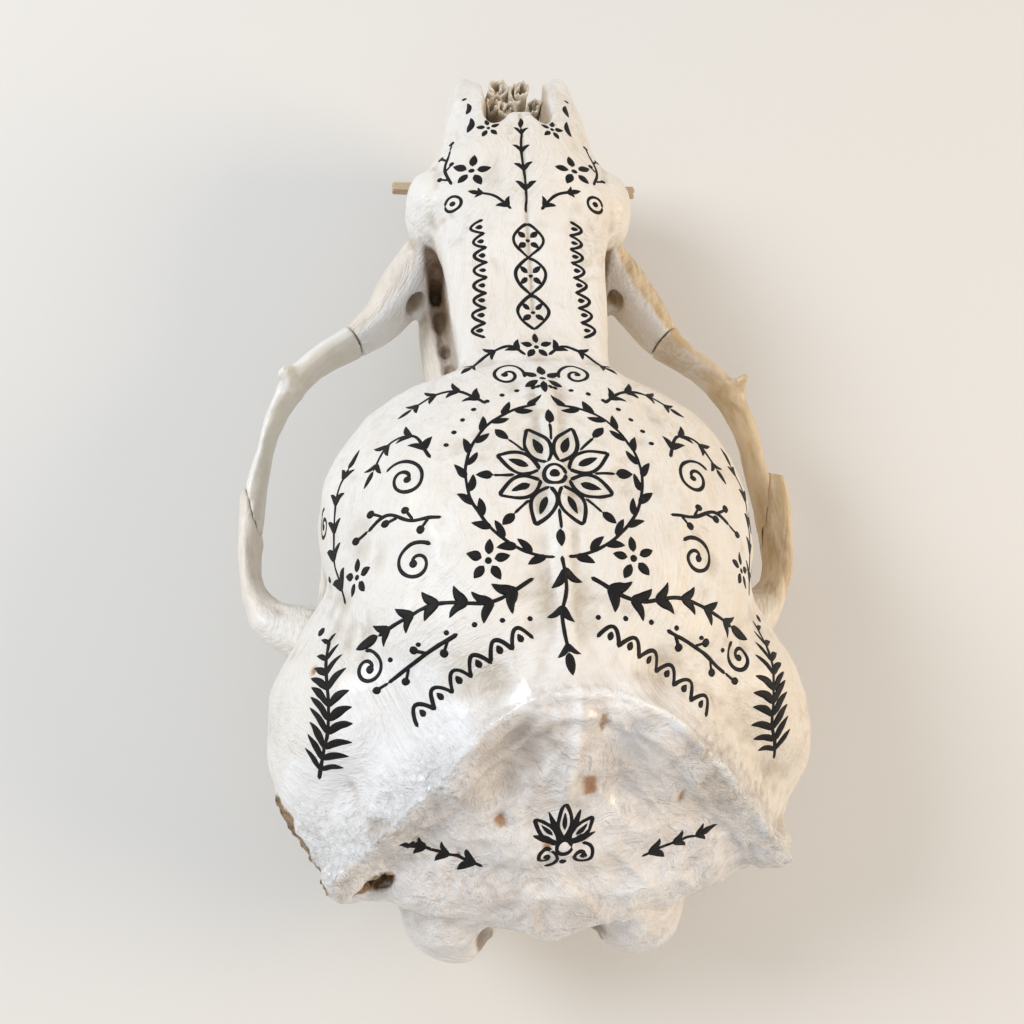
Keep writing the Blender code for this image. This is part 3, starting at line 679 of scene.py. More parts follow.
def along_crest(places):
    """Places in a frame turned with the crest: outward along it, across it towards the front, and up."""
    out, ahead = np.abs(places[:, 0]), places[:, 1]
    return np.column_stack([0.75 * out - 0.66 * ahead, 0.66 * out + 0.75 * ahead, places[:, 2]])


def crumbled(places):
    """1 on the ragged places: both rear corners and the outer halves of the crests."""
    left = run_distance(places, ((-24.0, 37.0), (-33.0, 29.0), (-44.0, 21.0), (-51.0, 27.0)))
    right = run_distance(places, ((27.0, 41.0), (40.0, 29.5), (51.0, 19.5)))
    near = np.maximum(bell(left, 7.5), 0.85 * bell(right, 5.5))
    return near * ease(30, 44, places[:, 2])


def pit_distance(places, x, y):
    """Distance on the plan from (x, y), where a pit is longer along y."""
    return np.hypot(places[:, 0] - x, (places[:, 1] - y) * 0.7)


def notch_distance(places, x, y):
    """Distance to a slanted line that passes over (x, y) at a height of 24 mm."""
    up = places[:, 2] - 24.0
    return np.hypot(places[:, 0] - x + 0.064 * up, (places[:, 1] - y - 0.112 * up) * 0.6)


def bone_relief(places, normals):
    """Height in millimetres to add along the normals: wrinkles, crests, seams, chips and pits."""
    xs, ys, zs = places.T
    up = ease(0.0, 0.35, normals[:, 2])
    high = ease(24, 40, zs)
    back = rear_face(places, normals)
    crest = crest_distance(places)
    wrinkle = bpy.context.scene.skull_bone.wrinkle / MM
    lift = 0.13 * rough(places, 9.0, 3, 3) * high
    dome = ease(54, 64, ys) * ease(126, 118, ys) * high
    lift += dome * (0.55 * rough(places, 17.0, 2, 5) + 0.5 * creased(places * [1.0, 0.5, 1.0], 15.0, 7))
    midline = np.abs(xs + 0.5 * rough(places * [0, 1, 0], 14.0, 2, 9))
    lift += 0.3 * bell(midline, 1.7) * ease(68, 76, ys) * ease(128, 120, ys) * high
    folds = along_crest(places) * np.array([0.30, 1.0, 0.55])
    lift += wrinkle * (1.5 * creased(folds, 5.6, 31) + 0.5 * creased(folds, 2.6, 33) - 0.6) * back
    lift += wrinkle * (1.3 * creased(places, 10.0, 35) + rough(places, 6.0, 2, 21) - 0.5) * back
    ragged = 0.6 + 0.4 * rough(places, 4.2, 2, 41)
    lift += 1.8 * ragged * bell(crest + 0.5 * rough(places, 5.0, 2, 45), 0.7) * high * up
    second = np.abs(crest - 4.4 - 1.2 * rough(places, 9.0, 2, 43))
    lift += 0.8 * bell(second, 0.8) * back
    crumbs = 0.55 * rough(places, 3.0, 3, 51) + 0.7 * creased(places * [1, 1, 0.6], 3.4, 55) - 0.35
    lift += crumbled(places) * crumbs
    lip = bell(run_distance(places, LIP), 1.6) * ease(44, 50, zs)
    lift += lip * (0.30 + 0.25 * rough(places, 2.4, 3, 75))
    seam = run_distance(places + 0.25 * rough(places, 2.2, 2, 81)[:, None], NOSE_SEAM)
    lift -= 0.55 * bell(seam, 0.55) * up * ease(60, 64, zs)
    for x, y, reach, depth in PITS:
        lift -= depth * bell(pit_distance(places, x, y), reach) * up * high
    for x, y, reach, depth in NOTCHES:
        lift -= depth * bell(notch_distance(places, x, y), reach) * ease(54, 50, zs)
    lift += chip_mask(places) * 0.5 * rough(places, 1.6, 3, 91)
    spur = np.linalg.norm(places - np.array([-59.8, 48.0, 42.0]), axis=1)
    lift += 2.6 * bell(spur, 1.4)
    return lift


def in_nose(places):
    """1 inside the nose tunnel: between its walls, under its roof and ahead of its end."""
    xs, ys, zs = places.T
    return (ease(8.9, 8.0, np.abs(xs)) * ease(168, 176, ys)
            * ease(28, 31, zs) * ease(66, 62.5, zs + 0.12 * (ys - 214)))


# How far the solids are swelled so that they fuse, in metres, and rounds of smoothing
FUSE = 0.0003
MELT_ROUNDS = 14


def skull_surface():
    """The braincase and snout as one fine skin with its relief."""
    bone = bpy.context.scene.skull_bone
    obj = merged_copy("skull_surface", ("braincase", "snout"), FUSE)
    rebuild(obj, bone.grid)
    points, normals, edges = mesh_arrays(obj.data)
    points = melt(points - normals * FUSE, edges, MELT_ROUNDS)
    put_points(obj, points)
    points, normals, edges = mesh_arrays(obj.data)
    places = to_skull(points)
    points = points + normals * (bone_relief(places, normals) * MM)[:, None]
    points[:, 2] = np.maximum(points[:, 2], CAD_BOX[0][2])
    put_points(obj, points)
    thin_out(obj, bone.triangles)
    obj.data.shade_smooth()
    return obj


def thick_paint(places):
    """1 where white paint lies thick: the left temple, the left corner and streaks along the crests."""
    xs, ys, zs = places.T
    wander = 3.0 * rough(places, 8.0, 3, 161)
    temple = np.hypot((xs + 31.0) / 13.5, (ys - 46.0) / 15.0) + wander * 0.035
    corner = np.hypot((xs + 48.0) / 12.0, (ys - 31.0) / 13.0) + wander * 0.05
    mask = np.maximum(ease(1.05, 0.88, temple), 0.85 * ease(1.1, 0.8, corner))
    crest = crest_distance(places)
    streak = ease(1.6, 0.7, crest + 0.8 * rough(places, 4.0, 2, 163))
    streak *= ease(-0.2, 0.3, rough(places, 12.0, 2, 165))
    ridge = ease(1.5, 0.6, run_distance(places, ((1.0, 52.0), (1.2, 38.0)))) * 0.9
    fan = ease(1.0, 0.5, np.hypot((xs - 11.0) / 5.0, (ys - 47.0) / 8.0) + wander * 0.06) * 0.8
    low = ease(1.0, 0.4, np.hypot((xs - 18.0) / 20.0, (ys - 16.0) / 7.0) + wander * 0.05) * 0.55
    rest = np.maximum(np.maximum(streak, ridge), np.maximum(fan, low))
    return np.clip(np.maximum(mask, rest), 0, 1) * ease(40, 55, zs)


def colour_masks(obj):
    """Attributes that the paint reads, each 0 to 1, for where each kind of surface lies and where shade
    and a highlight are painted.
    """
    points, normals, edges = mesh_arrays(obj.data)
    places = to_skull(points)
    xs, ys, zs = places.T
    fine = hollowness(places, normals, edges, 3)
    wide = hollowness(places, normals, edges, 16)
    back = rear_face(places, normals)
    crest = crest_distance(places)
    pearl = back * np.clip(0.85 + 0.4 * rough(places, 11.0, 3, 101), 0, 1)
    pearl = np.maximum(pearl, bell(crest, 4.0) * ease(45, 60, zs) * 0.7)
    condyle = ease(16, 11, ys) * ease(57, 53, zs)
    raw = ease(36, 24, zs + 5 * rough(places, 14.0, 3, 111)) * ease(0.25, -0.35, normals[:, 2])
    torn = 0.25 * rough(places, 1.6, 3, 113)
    rust = np.zeros(len(places))
    for x, y, reach, _ in PITS:
        away = pit_distance(places, x, y)
        rust = np.maximum(rust, ease(0.9, 0.6, away / reach + torn) * ease(45, 50, zs))
    notch = np.zeros(len(places))
    for x, y, reach, _ in NOTCHES:
        away = notch_distance(places, x, y)
        notch = np.maximum(notch, ease(1.15, 0.8, away / reach + torn) * ease(54, 50, zs))
    aside = np.abs(xs)
    # The tan mask: ochre over the cheek arches and roots, full on the right and three tenths on the left.
    # On the right it is painted shade, as the right side lies in shade.
    arch = ease(50, 58, aside) * ease(74, 84, ys) * ease(56, 52, zs)
    root = ease(18.5, 21.5, aside) * ease(136, 142, ys) * ease(176, 168, ys)
    root *= ease(60, 56, zs) * ease(26, 32, zs)
    # painted_highlight: a painted white highlight on the inner face of the cheek roots, where they face
    # back and in. It is added to the pearl and thick masks and taken out of the tan.
    painted_highlight = root * ease(0.15, 0.6, -normals[:, 1] * 0.8 - normals[:, 0] * np.sign(xs) * 0.6)
    reach = ease(24, 28, aside) * ease(134, 138, ys) * ease(178, 172, ys) * ease(58, 54, zs)
    tan = np.maximum(arch, np.maximum(root, reach) - painted_highlight) * np.where(xs > 0, 1.0, 0.3)
    # painted_shade: dark brown painted shade in the slit beside the nose bar, and in the notches of the
    # condyles.
    slit = run_distance(np.column_stack([aside, ys]), SLIT)
    painted_shade = ease(3.0, 1.9, slit) * ease(60, 56, zs) * ease(22, 26, zs)
    painted_shade *= 0.55 + 0.4 * ease(144, 162, ys + 4 * rough(places, 6.0, 2, 119))
    hollow = np.clip(fine * 9 + wide * 1.6, 0, 1)
    set_attribute(obj, "hollow", hollow * (1 - 0.35 * back))
    # The pearl and thick masks also carry the painted highlight on the cheek roots.
    pearl = np.maximum(np.maximum(pearl, 0.35 * condyle), 0.6 * painted_highlight)
    set_attribute(obj, "pearl", np.clip(pearl, 0, 1))
    set_attribute(obj, "thick", np.maximum(thick_paint(places), 0.8 * painted_highlight))
    set_attribute(obj, "painted_shade", np.maximum(painted_shade, 0.85 * notch))
    set_attribute(obj, "rust", rust)
    brown = np.hypot((xs + 9.5) / 9.0, (ys - 42.5) / 8.0) + 0.35 * rough(places, 5.0, 3, 115)
    ledge = np.hypot((xs - 33.0) / 10.0, (ys - 34.0) / 5.0) + 0.35 * rough(places, 5.0, 3, 117)
    set_attribute(obj, "taupe", np.maximum(ease(1.1, 0.5, brown), 0.7 * ease(1.1, 0.5, ledge)) * back)
    set_attribute(obj, "crumbly", crumbled(places))
    set_attribute(obj, "broken", chip_mask(places))
    set_attribute(obj, "raw", np.clip(raw, 0, 1))
    set_attribute(obj, "tan", tan)
    set_attribute(obj, "inside", in_nose(places))


class SKULL_OT_surface(bpy.types.Operator):
    """Builds the fine surface of the braincase and the snout"""
    bl_idname = "skull.surface"
    bl_label = "Bone surface"

    def execute(self, context):
        obj = skull_surface()
        colour_masks(obj)
        obj.data.materials.append(painted_bone())
        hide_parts("braincase", "snout")
        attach(obj, "root")
        return {"FINISHED"}


# Each cheek bone: its light and dark colour, how much is painted, and its torn spur. The left one's
# colours are ivory bone; the right one's tan is painted shade, as the right side lies in shade.
CHEEKS = {
    "left": ((0.76, 0.72, 0.62), (0.66, 0.61, 0.50), 0.25, (-59.2, 137.6)),
    "right": ((0.68, 0.52, 0.33), (0.52, 0.37, 0.19), 0.06, (57.2, 136.4)),
}


def cheek_surface(side):
    """A cheek bone as a fine skin with long fibres and a torn spur."""
    obj = merged_copy(f"cheek_{side}", (f"cheek_bone_{side}",), 0.0)
    rebuild(obj, bpy.context.scene.skull_bone.cheek_grid)
    points, normals, edges = mesh_arrays(obj.data)
    points = melt(points, edges, 8)
    put_points(obj, points)
    points, normals, edges = mesh_arrays(obj.data)
    places = to_skull(points)
    low, high = places[:, 1].min(), places[:, 1].max()
    middle = ease(low + 0.6, low + 3, places[:, 1]) * ease(high - 0.6, high - 4, places[:, 1])
    lift = 0.10 * rough(places * np.array([1, 0.3, 1]), 5.0, 3, 121) * middle
    torn = bell(np.linalg.norm(places[:, :2] - CHEEKS[side][3], axis=1), 4)
    lift += torn * 0.45 * rough(places, 1.8, 3, 131)
    put_points(obj, points + normals * (lift * MM)[:, None])
    obj.data.shade_smooth()
    points, normals, edges = mesh_arrays(obj.data)
    places = to_skull(points)
    set_attribute(obj, "hollow", np.clip(hollowness(places, normals, edges, 3) * 9, 0, 1))
    outward = normals[:, 0] * np.sign(places[:, 0])
    rim = ease(-0.1, 0.5, normals[:, 2]) * ease(-0.3, 0.3, outward)
    front = ease(134, 142, places[:, 1] + 1.5 * rough(places, 5.0, 2, 133))
    # On the right the white is a painted highlight on the inner face of the front.
    white = np.maximum(rim, 0.35 * front) if side == "left" else 0.8 * front * ease(-0.2, -0.7, outward)
    set_attribute(obj, "white", np.clip(white, 0, 1))
    return obj


class SKULL_OT_cheeks(bpy.types.Operator):
    """Builds the two cheek bones"""
    bl_idname = "skull.cheeks"
    bl_label = "Cheek bones"

    def execute(self, context):
        for side, (light, dark, painted, _) in CHEEKS.items():
            obj = cheek_surface(side)
            obj.data.materials.append(bare_bone(f"{side} cheek bone", light, dark, painted))
            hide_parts(f"cheek_bone_{side}")
            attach(obj, "root")
        return {"FINISHED"}


# Teeth: y, x outward, root radius, crown height; the canine as rows of x outward, y, z, radius
CHEEK_TEETH = ((188.5, 18.4, 3.0, 7.5), (177.0, 19.4, 3.7, 8.6), (164.5, 20.2, 3.9, 8.8),
               (151.5, 19.8, 3.8, 8.2), (139.5, 18.2, 3.2, 6.6))
INCISORS = ((222.6, 2.7, 1.9, 5.4), (221.4, 6.4, 2.0, 6.2), (218.8, 10.2, 2.5, 8.4))
CANINE = ((15.6, 203.0, 26.0, 5.4), (16.2, 205.4, 14.0, 4.8),
          (16.6, 205.6, 6.0, 3.8), (16.8, 204.6, -1.2, 2.2))
ENAMEL = 0.22
TOOTH_ROWS, TOOTH_SIDES = 26, 22


def capped_faces(count, sides, first=0):
    """Faces of a skin over rings of points, with a fan at each end to one of two last points."""
    faces = grid_faces(count, sides, True, first)
    tail, ends = first + (count - 1) * sides, first + count * sides
    faces += [(ends, first + (j + 1) % sides, first + j) for j in range(sides)]
    faces += [(ends + 1, tail + j, tail + (j + 1) % sides) for j in range(sides)]
    return faces


def capped(rings, first):
    """Points and faces of a closed skin over rings of equal count."""
    points = np.vstack([rings.reshape(-1, 3), rings[0].mean(axis=0), rings[-1].mean(axis=0)])
    return points.tolist(), capped_faces(*rings.shape[:2], first)


def round_places(along, angle, radius):
    """Places round a column, where noise is read: one for each place along it and each angle."""
    return np.column_stack([np.repeat(along, len(angle)), np.tile(np.cos(angle) * radius, len(along)),
                            np.tile(np.sin(angle) * radius, len(along))])


def tooth_rings(rows, side, seed):
    """Round sections along a bent row of middles, lobed by 1 + 0.04 cos 3a, with low growth ridges."""
    rows = np.asarray(rows, float)
    t = np.linspace(0, 1, TOOTH_ROWS)
    knots = np.linspace(0, 1, len(rows))
    path = np.column_stack([np.interp(t, knots, rows[:, k]) for k in range(4)])
    for _ in range(3):
        path[1:-1] = (path[:-2] + 2 * path[1:-1] + path[2:]) / 4
    path[:, 0] *= side
    angle = np.linspace(0, 2 * math.pi, TOOTH_SIDES, endpoint=False)
    ridges = lattice_noise(round_places(t * 6, angle, 2), 1.0, seed).reshape(TOOTH_ROWS, TOOTH_SIDES)
    swell = 1 + 0.035 * ridges + 0.04 * np.cos(3 * angle + seed)
    tip = np.sqrt(np.clip((1 - t) / 0.08, 0.12, 1))
    reach = (path[:, 3] + ENAMEL)[:, None] * swell * tip[:, None]
    rings = np.stack([path[:, :1] + reach * np.cos(angle), path[:, 1:2] + reach * np.sin(angle),
                      np.broadcast_to(path[:, 2:3], reach.shape)], -1)
    rings[..., 2] = np.maximum(rings[..., 2], 0.0)
    return rings


class SKULL_OT_teeth(bpy.types.Operator):
    """Builds the enamel of the upper teeth over their cores"""
    bl_idname = "skull.teeth"
    bl_label = "Teeth"

    def execute(self, context):
        points, faces = [], []
        draw = np.random.default_rng(5)
        for side in (-1, 1):
            teeth = [CANINE]
            for y, x, radius, height in CHEEK_TEETH + INCISORS:
                size = 1 + draw.uniform(-0.06, 0.06)
                gum = PALATE[1] + (y - PALATE[0]) * PALATE[2]
                teeth.append(((x, y, gum + 6, radius * 0.9 * size), (x, y, gum, radius * size),
                              (x + 0.3, y - 0.4, gum - 0.55 * height, radius * 0.78 * size),
                              (x + 0.4, y - 1.2, gum - height * size, 0.9)))
            for n, rows in enumerate(teeth):
                more, skin = capped(tooth_rings(rows, side, 20 + n), len(points))
                points += more
                faces += skin
        obj = new_mesh_object("teeth", to_frame(np.array(points)).tolist(), faces)
        point_out(obj)
        obj.data.materials.append(tooth_material())
        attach(obj, "root")
        return {"FINISHED"}


# Rolled nose plates: middle of the roll, its radius, turns, where it runs from and to, and its axis
LYING_ROLLS = (
    ((-4.6, 40.0), 3.7, 1.7, 178.0, 221.0), ((4.6, 40.5), 3.6, -1.7, 178.0, 218.0),
    ((-4.4, 50.5), 3.6, -1.6, 178.0, 217.0), ((4.2, 50.5), 3.4, 1.6, 178.0, 213.0),
    ((-0.2, 57.5), 2.6, 1.4, 178.0, 209.0),
)
STANDING_ROLLS = (
    ((-4.2, 216.0), 3.4, 1.5, 32.0, 60.0), ((1.6, 213.5), 3.2, -1.5, 32.0, 62.5),
    ((-5.4, 209.0), 2.8, 1.3, 32.0, 62.5), ((5.0, 208.5), 2.4, 1.3, 32.0, 62.0),
    ((-0.8, 220.5), 2.8, -1.4, 31.0, 52.0), ((-1.8, 208.0), 2.6, 1.6, 32.0, 62.0),
)
PLATE = 0.5
PLATE_ROWS, PLATE_COLUMNS = 26, 44


def rolled_plate(middle, size, turns, start, end, standing, seed):
    """A curled sheet: its radius falls evenly with the angle; its far edge is ragged by noise."""
    t, s = np.linspace(0, 1, PLATE_COLUMNS), np.linspace(0, 1, PLATE_ROWS)
    angle = seed + turns * 2 * math.pi * t
    nibbled = np.abs(rough(np.column_stack([t * 9, t * 0, t * 0]), 1.0, 3, seed))
    ragged = (end - start) * (1 - 0.07 * nibbled)
    sheets = []
    for half in (-PLATE / 2, PLATE / 2):
        radius = size * (1 - 0.72 * t) + half
        bumps = np.column_stack([np.tile(t * 6, PLATE_ROWS), np.repeat(s * 9, PLATE_COLUMNS),
                                 np.zeros(PLATE_ROWS * PLATE_COLUMNS)])
        dents = lattice_noise(bumps, 1.0, seed + 3).reshape(PLATE_ROWS, PLATE_COLUMNS)
        radius = radius[None, :] * (1 + 0.12 * dents)
        run = start + s[:, None] * ragged[None, :]
        a, b = middle[0] + radius * np.cos(angle), middle[1] + radius * np.sin(angle)
        sheets.append(np.stack([a, b, run] if standing else [a, run, b], -1))
    return np.concatenate([sheets[0], sheets[1][:, ::-1]], axis=1)


class SKULL_OT_nose(bpy.types.Operator):
    """Builds the thin rolled plates inside the nose"""
    bl_idname = "skull.nose"
    bl_label = "Nose plates"

    def execute(self, context):
        points, faces = [], []
        rolls = [(*roll, False) for roll in LYING_ROLLS] + [(*roll, True) for roll in STANDING_ROLLS]
        for n, roll in enumerate(rolls):
            rings = rolled_plate(*roll, 5 + n)
            count, wide = rings.shape[:2]
            first = len(points)
            points += rings.reshape(-1, 3).tolist()
            faces += grid_faces(count, wide, True, first)
            for row, flip in ((first, False), (first + (count - 1) * wide, True)):
                for j in range(wide // 2 - 1):
                    quad = (row + j, row + j + 1, row + wide - 2 - j, row + wide - 1 - j)
                    faces.append(quad[::-1] if flip else quad)
        obj = new_mesh_object("nose_plates", to_frame(np.array(points)).tolist(), faces)
        point_out(obj)
        obj.data.materials.append(scroll_material())
        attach(obj, "root")
        return {"FINISHED"}


class SKULL_OT_stick(bpy.types.Operator):
    """Builds the thin split stick that lies across between the incisors and the canines"""
    bl_idname = "skull.stick"
    bl_label = "Stick"

    def execute(self, context):
        low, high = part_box("wooden_peg")
        middle = [(a + b) / 2 for a, b in zip(low, high)]
        radius = (high[2] - low[2]) / 2
        rows, columns = 80, 28
        along = np.linspace(low[0], high[0], rows)[:, None]
        angle = np.linspace(0, 2 * math.pi, columns, endpoint=False)[None, :]
        flat = 1 - 0.10 * np.cos(4 * angle + 0.6) ** 2
        wave = round_places(along / MM, angle[0], 5)
        grain = 1 - 0.05 * np.abs(rough(wave * [0.06, 1, 1], 1.0, 3, 141)).reshape(rows, columns)
        reach = radius * flat * grain
        x = np.broadcast_to(along, reach.shape).copy()
        ends = lattice_noise(np.column_stack([np.cos(angle[0]) * 3, np.sin(angle[0]) * 3,
                                              np.zeros(columns)]), 1.0, 7)
        cut = 0.0004 + 0.0003 * ends
        x[0] += cut
        x[-1] -= cut
        points = np.stack([x, middle[1] + reach * np.cos(angle), middle[2] + reach * np.sin(angle)], -1)
        points = points.reshape(-1, 3).tolist()
        points += [[low[0] + 0.0003, middle[1], middle[2]], [high[0] - 0.0003, middle[1], middle[2]]]
        obj = new_mesh_object("stick", points, capped_faces(rows, columns))
        point_out(obj)
        obj.data.materials.append(wood_material())
        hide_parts("wooden_peg")
        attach(obj, "root")
        return {"FINISHED"}


def point_out(obj):
    bm = bmesh.new()
    bm.from_mesh(obj.data)
    bmesh.ops.recalc_face_normals(bm, faces=bm.faces)
    bm.to_mesh(obj.data)
    bm.free()


# The pen: every mark is a path on a sheet with its half width along it, in millimetres

PEN_STEP = 0.45
INK_LIFTS = (0.03, 0.09, 0.10, 0.09, 0.03)
WIDEST_STEP = 1.4
PEN_SHAKE, PEN_SWELL = 0.13, 0.16
SHEET_HEIGHT = 45
INK_ROOT = 0.35


def evenly(curve, step=PEN_STEP):
    """The same curve as points at even distances."""
    run = np.concatenate([[0], np.cumsum(np.linalg.norm(np.diff(curve, axis=0), axis=1))])
    at = np.linspace(0, run[-1], max(5, int(round(run[-1] / step)) + 1))
    return np.column_stack([np.interp(at, run, curve[:, k]) for k in range(curve.shape[1])])


def flowing(points):
    """Smooth cubic curve through all the points, with each slope taken from both neighbours."""
    p = np.asarray(points, float)
    p = np.vstack([2 * p[0] - p[1], p, 2 * p[-1] - p[-2]])
    t = np.linspace(0, 1, 16, endpoint=False)[:, None]
    parts = [0.5 * (2 * b + (c - a) * t + (2 * a - 5 * b + 4 * c - d) * t**2
                    + (3 * b - a - 3 * c + d) * t**3)
             for a, b, c, d in zip(p[:-3], p[1:-2], p[2:-1], p[3:])]
    return evenly(np.vstack([*parts, p[-2:-1]]))


def turned(points, angle, size=1.0):
    c, s = math.cos(angle), math.sin(angle)
    return np.asarray(points, float) @ np.array([[c, s], [-s, c]]) * size


def line(path, wide=1.0):
    """A plain pen line with rounded ends."""
    half = 0.5 * bpy.context.scene.skull_ink.width / MM * wide
    run = np.arange(len(path)) * np.linalg.norm(path[1] - path[0])
    tip = np.minimum(run, run[-1] - run) / half
    return [(path, half * np.sqrt(np.clip(1 - (1 - np.clip(tip, 0, 1)) ** 2, 0.04, 1)))]


def leaf(at, angle, length, width, bend=0.12):
    """A filled leaf: a bent path whose half width follows a sine, fullest before its middle."""
    t = np.linspace(0, 1, max(7, int(length / PEN_STEP)))
    path = turned(np.column_stack([t * length, bend * length * np.sin(math.pi * t)]), angle) + at
    return [(path, 0.5 * width * np.sin(math.pi * t**0.8) ** 0.8 + 0.09)]


def dot(at, radius):
    x = np.cos(np.linspace(math.pi, 0, 9)) * radius
    return [(np.column_stack([x, x * 0]) + at, np.sqrt(np.maximum(radius**2 - x**2, 0.002)))]


def ring(at, radius, start=0.0, end=2 * math.pi, wide=1.0):
    angle = np.linspace(start, end, 48)
    return line(evenly(np.column_stack([np.cos(angle), np.sin(angle)]) * radius + at), wide)


def petal(at, angle, length, width):
    """An outlined petal, two bowed lines that meet in a point, with a short vein inside."""
    t = np.linspace(0, 1, 24)
    bow = 0.5 * width * np.sin(math.pi * t**0.85)
    marks = []
    for side in (-1, 1):
        marks += line(evenly(turned(np.column_stack([t * length, side * bow]), angle) + at))
    vein = np.array([[0.25 * length, 0], [0.68 * length, 0]])
    return marks + leaf(turned(vein, angle)[0] + at, angle, 0.46 * length, 0.30 * width, 0)


def spiral(at, angle, size, turns=1.6, side=1):
    """A line that winds in: its radius falls evenly with the angle."""
    t = np.linspace(0, 1, 90)
    radius = size * (1 - t * 0.86)
    sweep = angle + side * turns * 2 * math.pi * t
    path = np.column_stack([radius * np.cos(sweep), radius * np.sin(sweep)]) + at
    return line(evenly(path)) + dot(path[-1], 0.75)


def stations(stem, shares):
    """Places at shares of a stem's length, each with the share and the stem's direction."""
    ahead = np.gradient(stem, axis=0)
    for share in shares:
        k = int(share * (len(stem) - 1))
        yield share, stem[k], math.atan2(ahead[k, 1], ahead[k, 0])


def sprig(points, pairs, length, width=0.36, spread=0.75, first=0.12, last=0.92):
    """A stem with pairs of leaves that get shorter towards its end."""
    stem = flowing(points)
    marks = line(stem)
    for share, foot, angle in stations(stem, np.linspace(first, last, pairs)):
        size = length * (1 - 0.35 * share)
        for side in (-1, 1):
            marks += leaf(foot, angle + side * spread, size, size * width, -0.14 * side)
    for _, foot, angle in stations(stem, [1.0]):
        marks += leaf(foot, angle, length * 0.9, length * width, 0)
    return marks


def berries(points, twigs, reach, radius=0.8):
    """A stem with short twigs that end in round berries, by turns left and right."""
    stem = flowing(points)
    marks = line(stem)
    for n, (share, foot, angle) in enumerate(stations(stem, np.linspace(0.15, 1.0, twigs))):
        way = angle + (0.8 if n % 2 else -0.8) * (share < 1)
        end = foot + turned([[reach, 0]], way)[0]
        marks += line(evenly(np.array([foot, end])), 0.8) + dot(end, radius)
    return marks


def scallops(points, size):
    """Arches side by side along a curve, on its left, each with a drop inside."""
    path = evenly(flowing(points), size)
    marks = []
    for a, b in zip(path[:-1], path[1:]):
        angle = math.atan2(*(b - a)[::-1])
        arch = np.column_stack([np.linspace(0, 1, 20), 0.75 * np.sin(np.linspace(0, math.pi, 20)) ** 0.8])
        marks += line(evenly(turned(arch, angle, np.linalg.norm(b - a)) + a))
        foot = turned([[0.5 * size, 0.10 * size]], angle)[0] + a
        marks += leaf(foot, angle + math.pi / 2, 0.42 * size, 0.26 * size, 0)
    return marks


def blossom(at, angle, size, petals=5):
    marks = dot(at, 0.16 * size)
    for n in range(petals):
        way = angle + 2 * math.pi * n / petals
        foot = np.asarray(at) + turned([[0.30 * size, 0]], way)[0]
        marks += leaf(foot, way, 0.72 * size, 0.40 * size, 0)
    return marks


def rosette(at, size):
    """Eight outlined petals round a ringed eyelet, with a bud on a stalk between each two."""
    marks = ring(at, 0.15 * size) + dot(at, 0.07 * size)
    for n in range(8):
        way = math.pi / 8 + n * math.pi / 4
        marks += petal(np.asarray(at) + turned([[0.22 * size, 0]], way)[0], way, 0.62 * size, 0.34 * size)
        way += math.pi / 8
        start, end = (np.asarray(at) + turned([[share * size, 0]], way)[0] for share in (0.55, 0.84))
        marks += line(evenly(np.array([start, end])), 0.8)
        marks += leaf(end, way, 0.24 * size, 0.13 * size, 0)
    return marks


def fern(points, pairs, length):
    """A bent stem with many thin leaflets, longest before its middle."""
    stem = flowing(points)
    marks = line(stem)
    for share, foot, angle in stations(stem, np.linspace(0.08, 0.97, pairs)):
        size = length * (0.25 + 0.75 * math.sin(math.pi * min(1, share * 0.75 + 0.22)))
        for side in (-1, 1):
            marks += leaf(foot, angle + side * 0.95, size, 0.22 * size + 0.25, -0.10 * side)
    return marks


def palmette(size):
    """A fan of seven petals over two scrolls, as on a carved frieze."""
    marks = []
    for n, angle in enumerate(np.linspace(-1.15, 1.15, 7)):
        long = size * (0.95 - 0.10 * abs(n - 3))
        foot = turned([[0.16 * size, 0]], math.pi / 2 + angle)[0]
        if n % 2:
            marks += petal(foot, math.pi / 2 + angle, long * 0.84, 0.26 * size)
        else:
            marks += leaf(foot, math.pi / 2 + angle, long * 0.74, 0.13 * size, 0)
    for side in (-1, 1):
        start = math.pi / 2 - side * math.pi / 2
        marks += spiral((side * 0.34 * size, -0.22 * size), start + math.pi / 2, 0.26 * size, 1.3, -side)
    return marks + ring((0, 0), 0.14 * size) + dot((0, -0.36 * size), 0.07 * size)


def mirrored(marks):
    return marks + [(path * [-1, 1], half) for path, half in marks]


def wreath(at, radius, leaves, length):
    """The right half of a laurel: leaves by turns in and out along an arc, all pointing up."""
    marks = []
    for n, angle in enumerate(np.linspace(-1.42, 1.34, leaves)):
        foot = np.asarray(at) + turned([[radius, 0]], angle)[0]
        marks += leaf(foot, angle + math.pi / 2 + (0.5 if n % 2 else -0.5), length, 0.36 * length, 0.05)
    return marks + ring(at, radius, -1.5, 1.45, 0.8)


CROWN = (0.0, 95.0)


def snout_marks():
    """The marks on the right half of the snout."""
    marks = blossom((12.6, 182.0), 0.5, 4.8)
    marks += blossom((8.0, 195.0), 0.2, 3.0)
    marks += ring((17.4, 173.0), 1.9) + dot((17.4, 173.0), 0.7)
    marks += sprig([(3.6, 169.5), (7.0, 173.5), (11.0, 175.0)], 2, 3.2)
    marks += berries([(17.5, 178.5), (19.0, 184.0), (17.6, 190.5)], 4, 2.4, 0.65)
    marks += leaf((13.2, 194.5), 1.75, 5.0, 1.8) + leaf((13.0, 201.5), 1.65, 4.4, 1.5)
    return marks + dot((13.4, 208.5), 0.6) + dot((4.2, 199.6), 0.55)


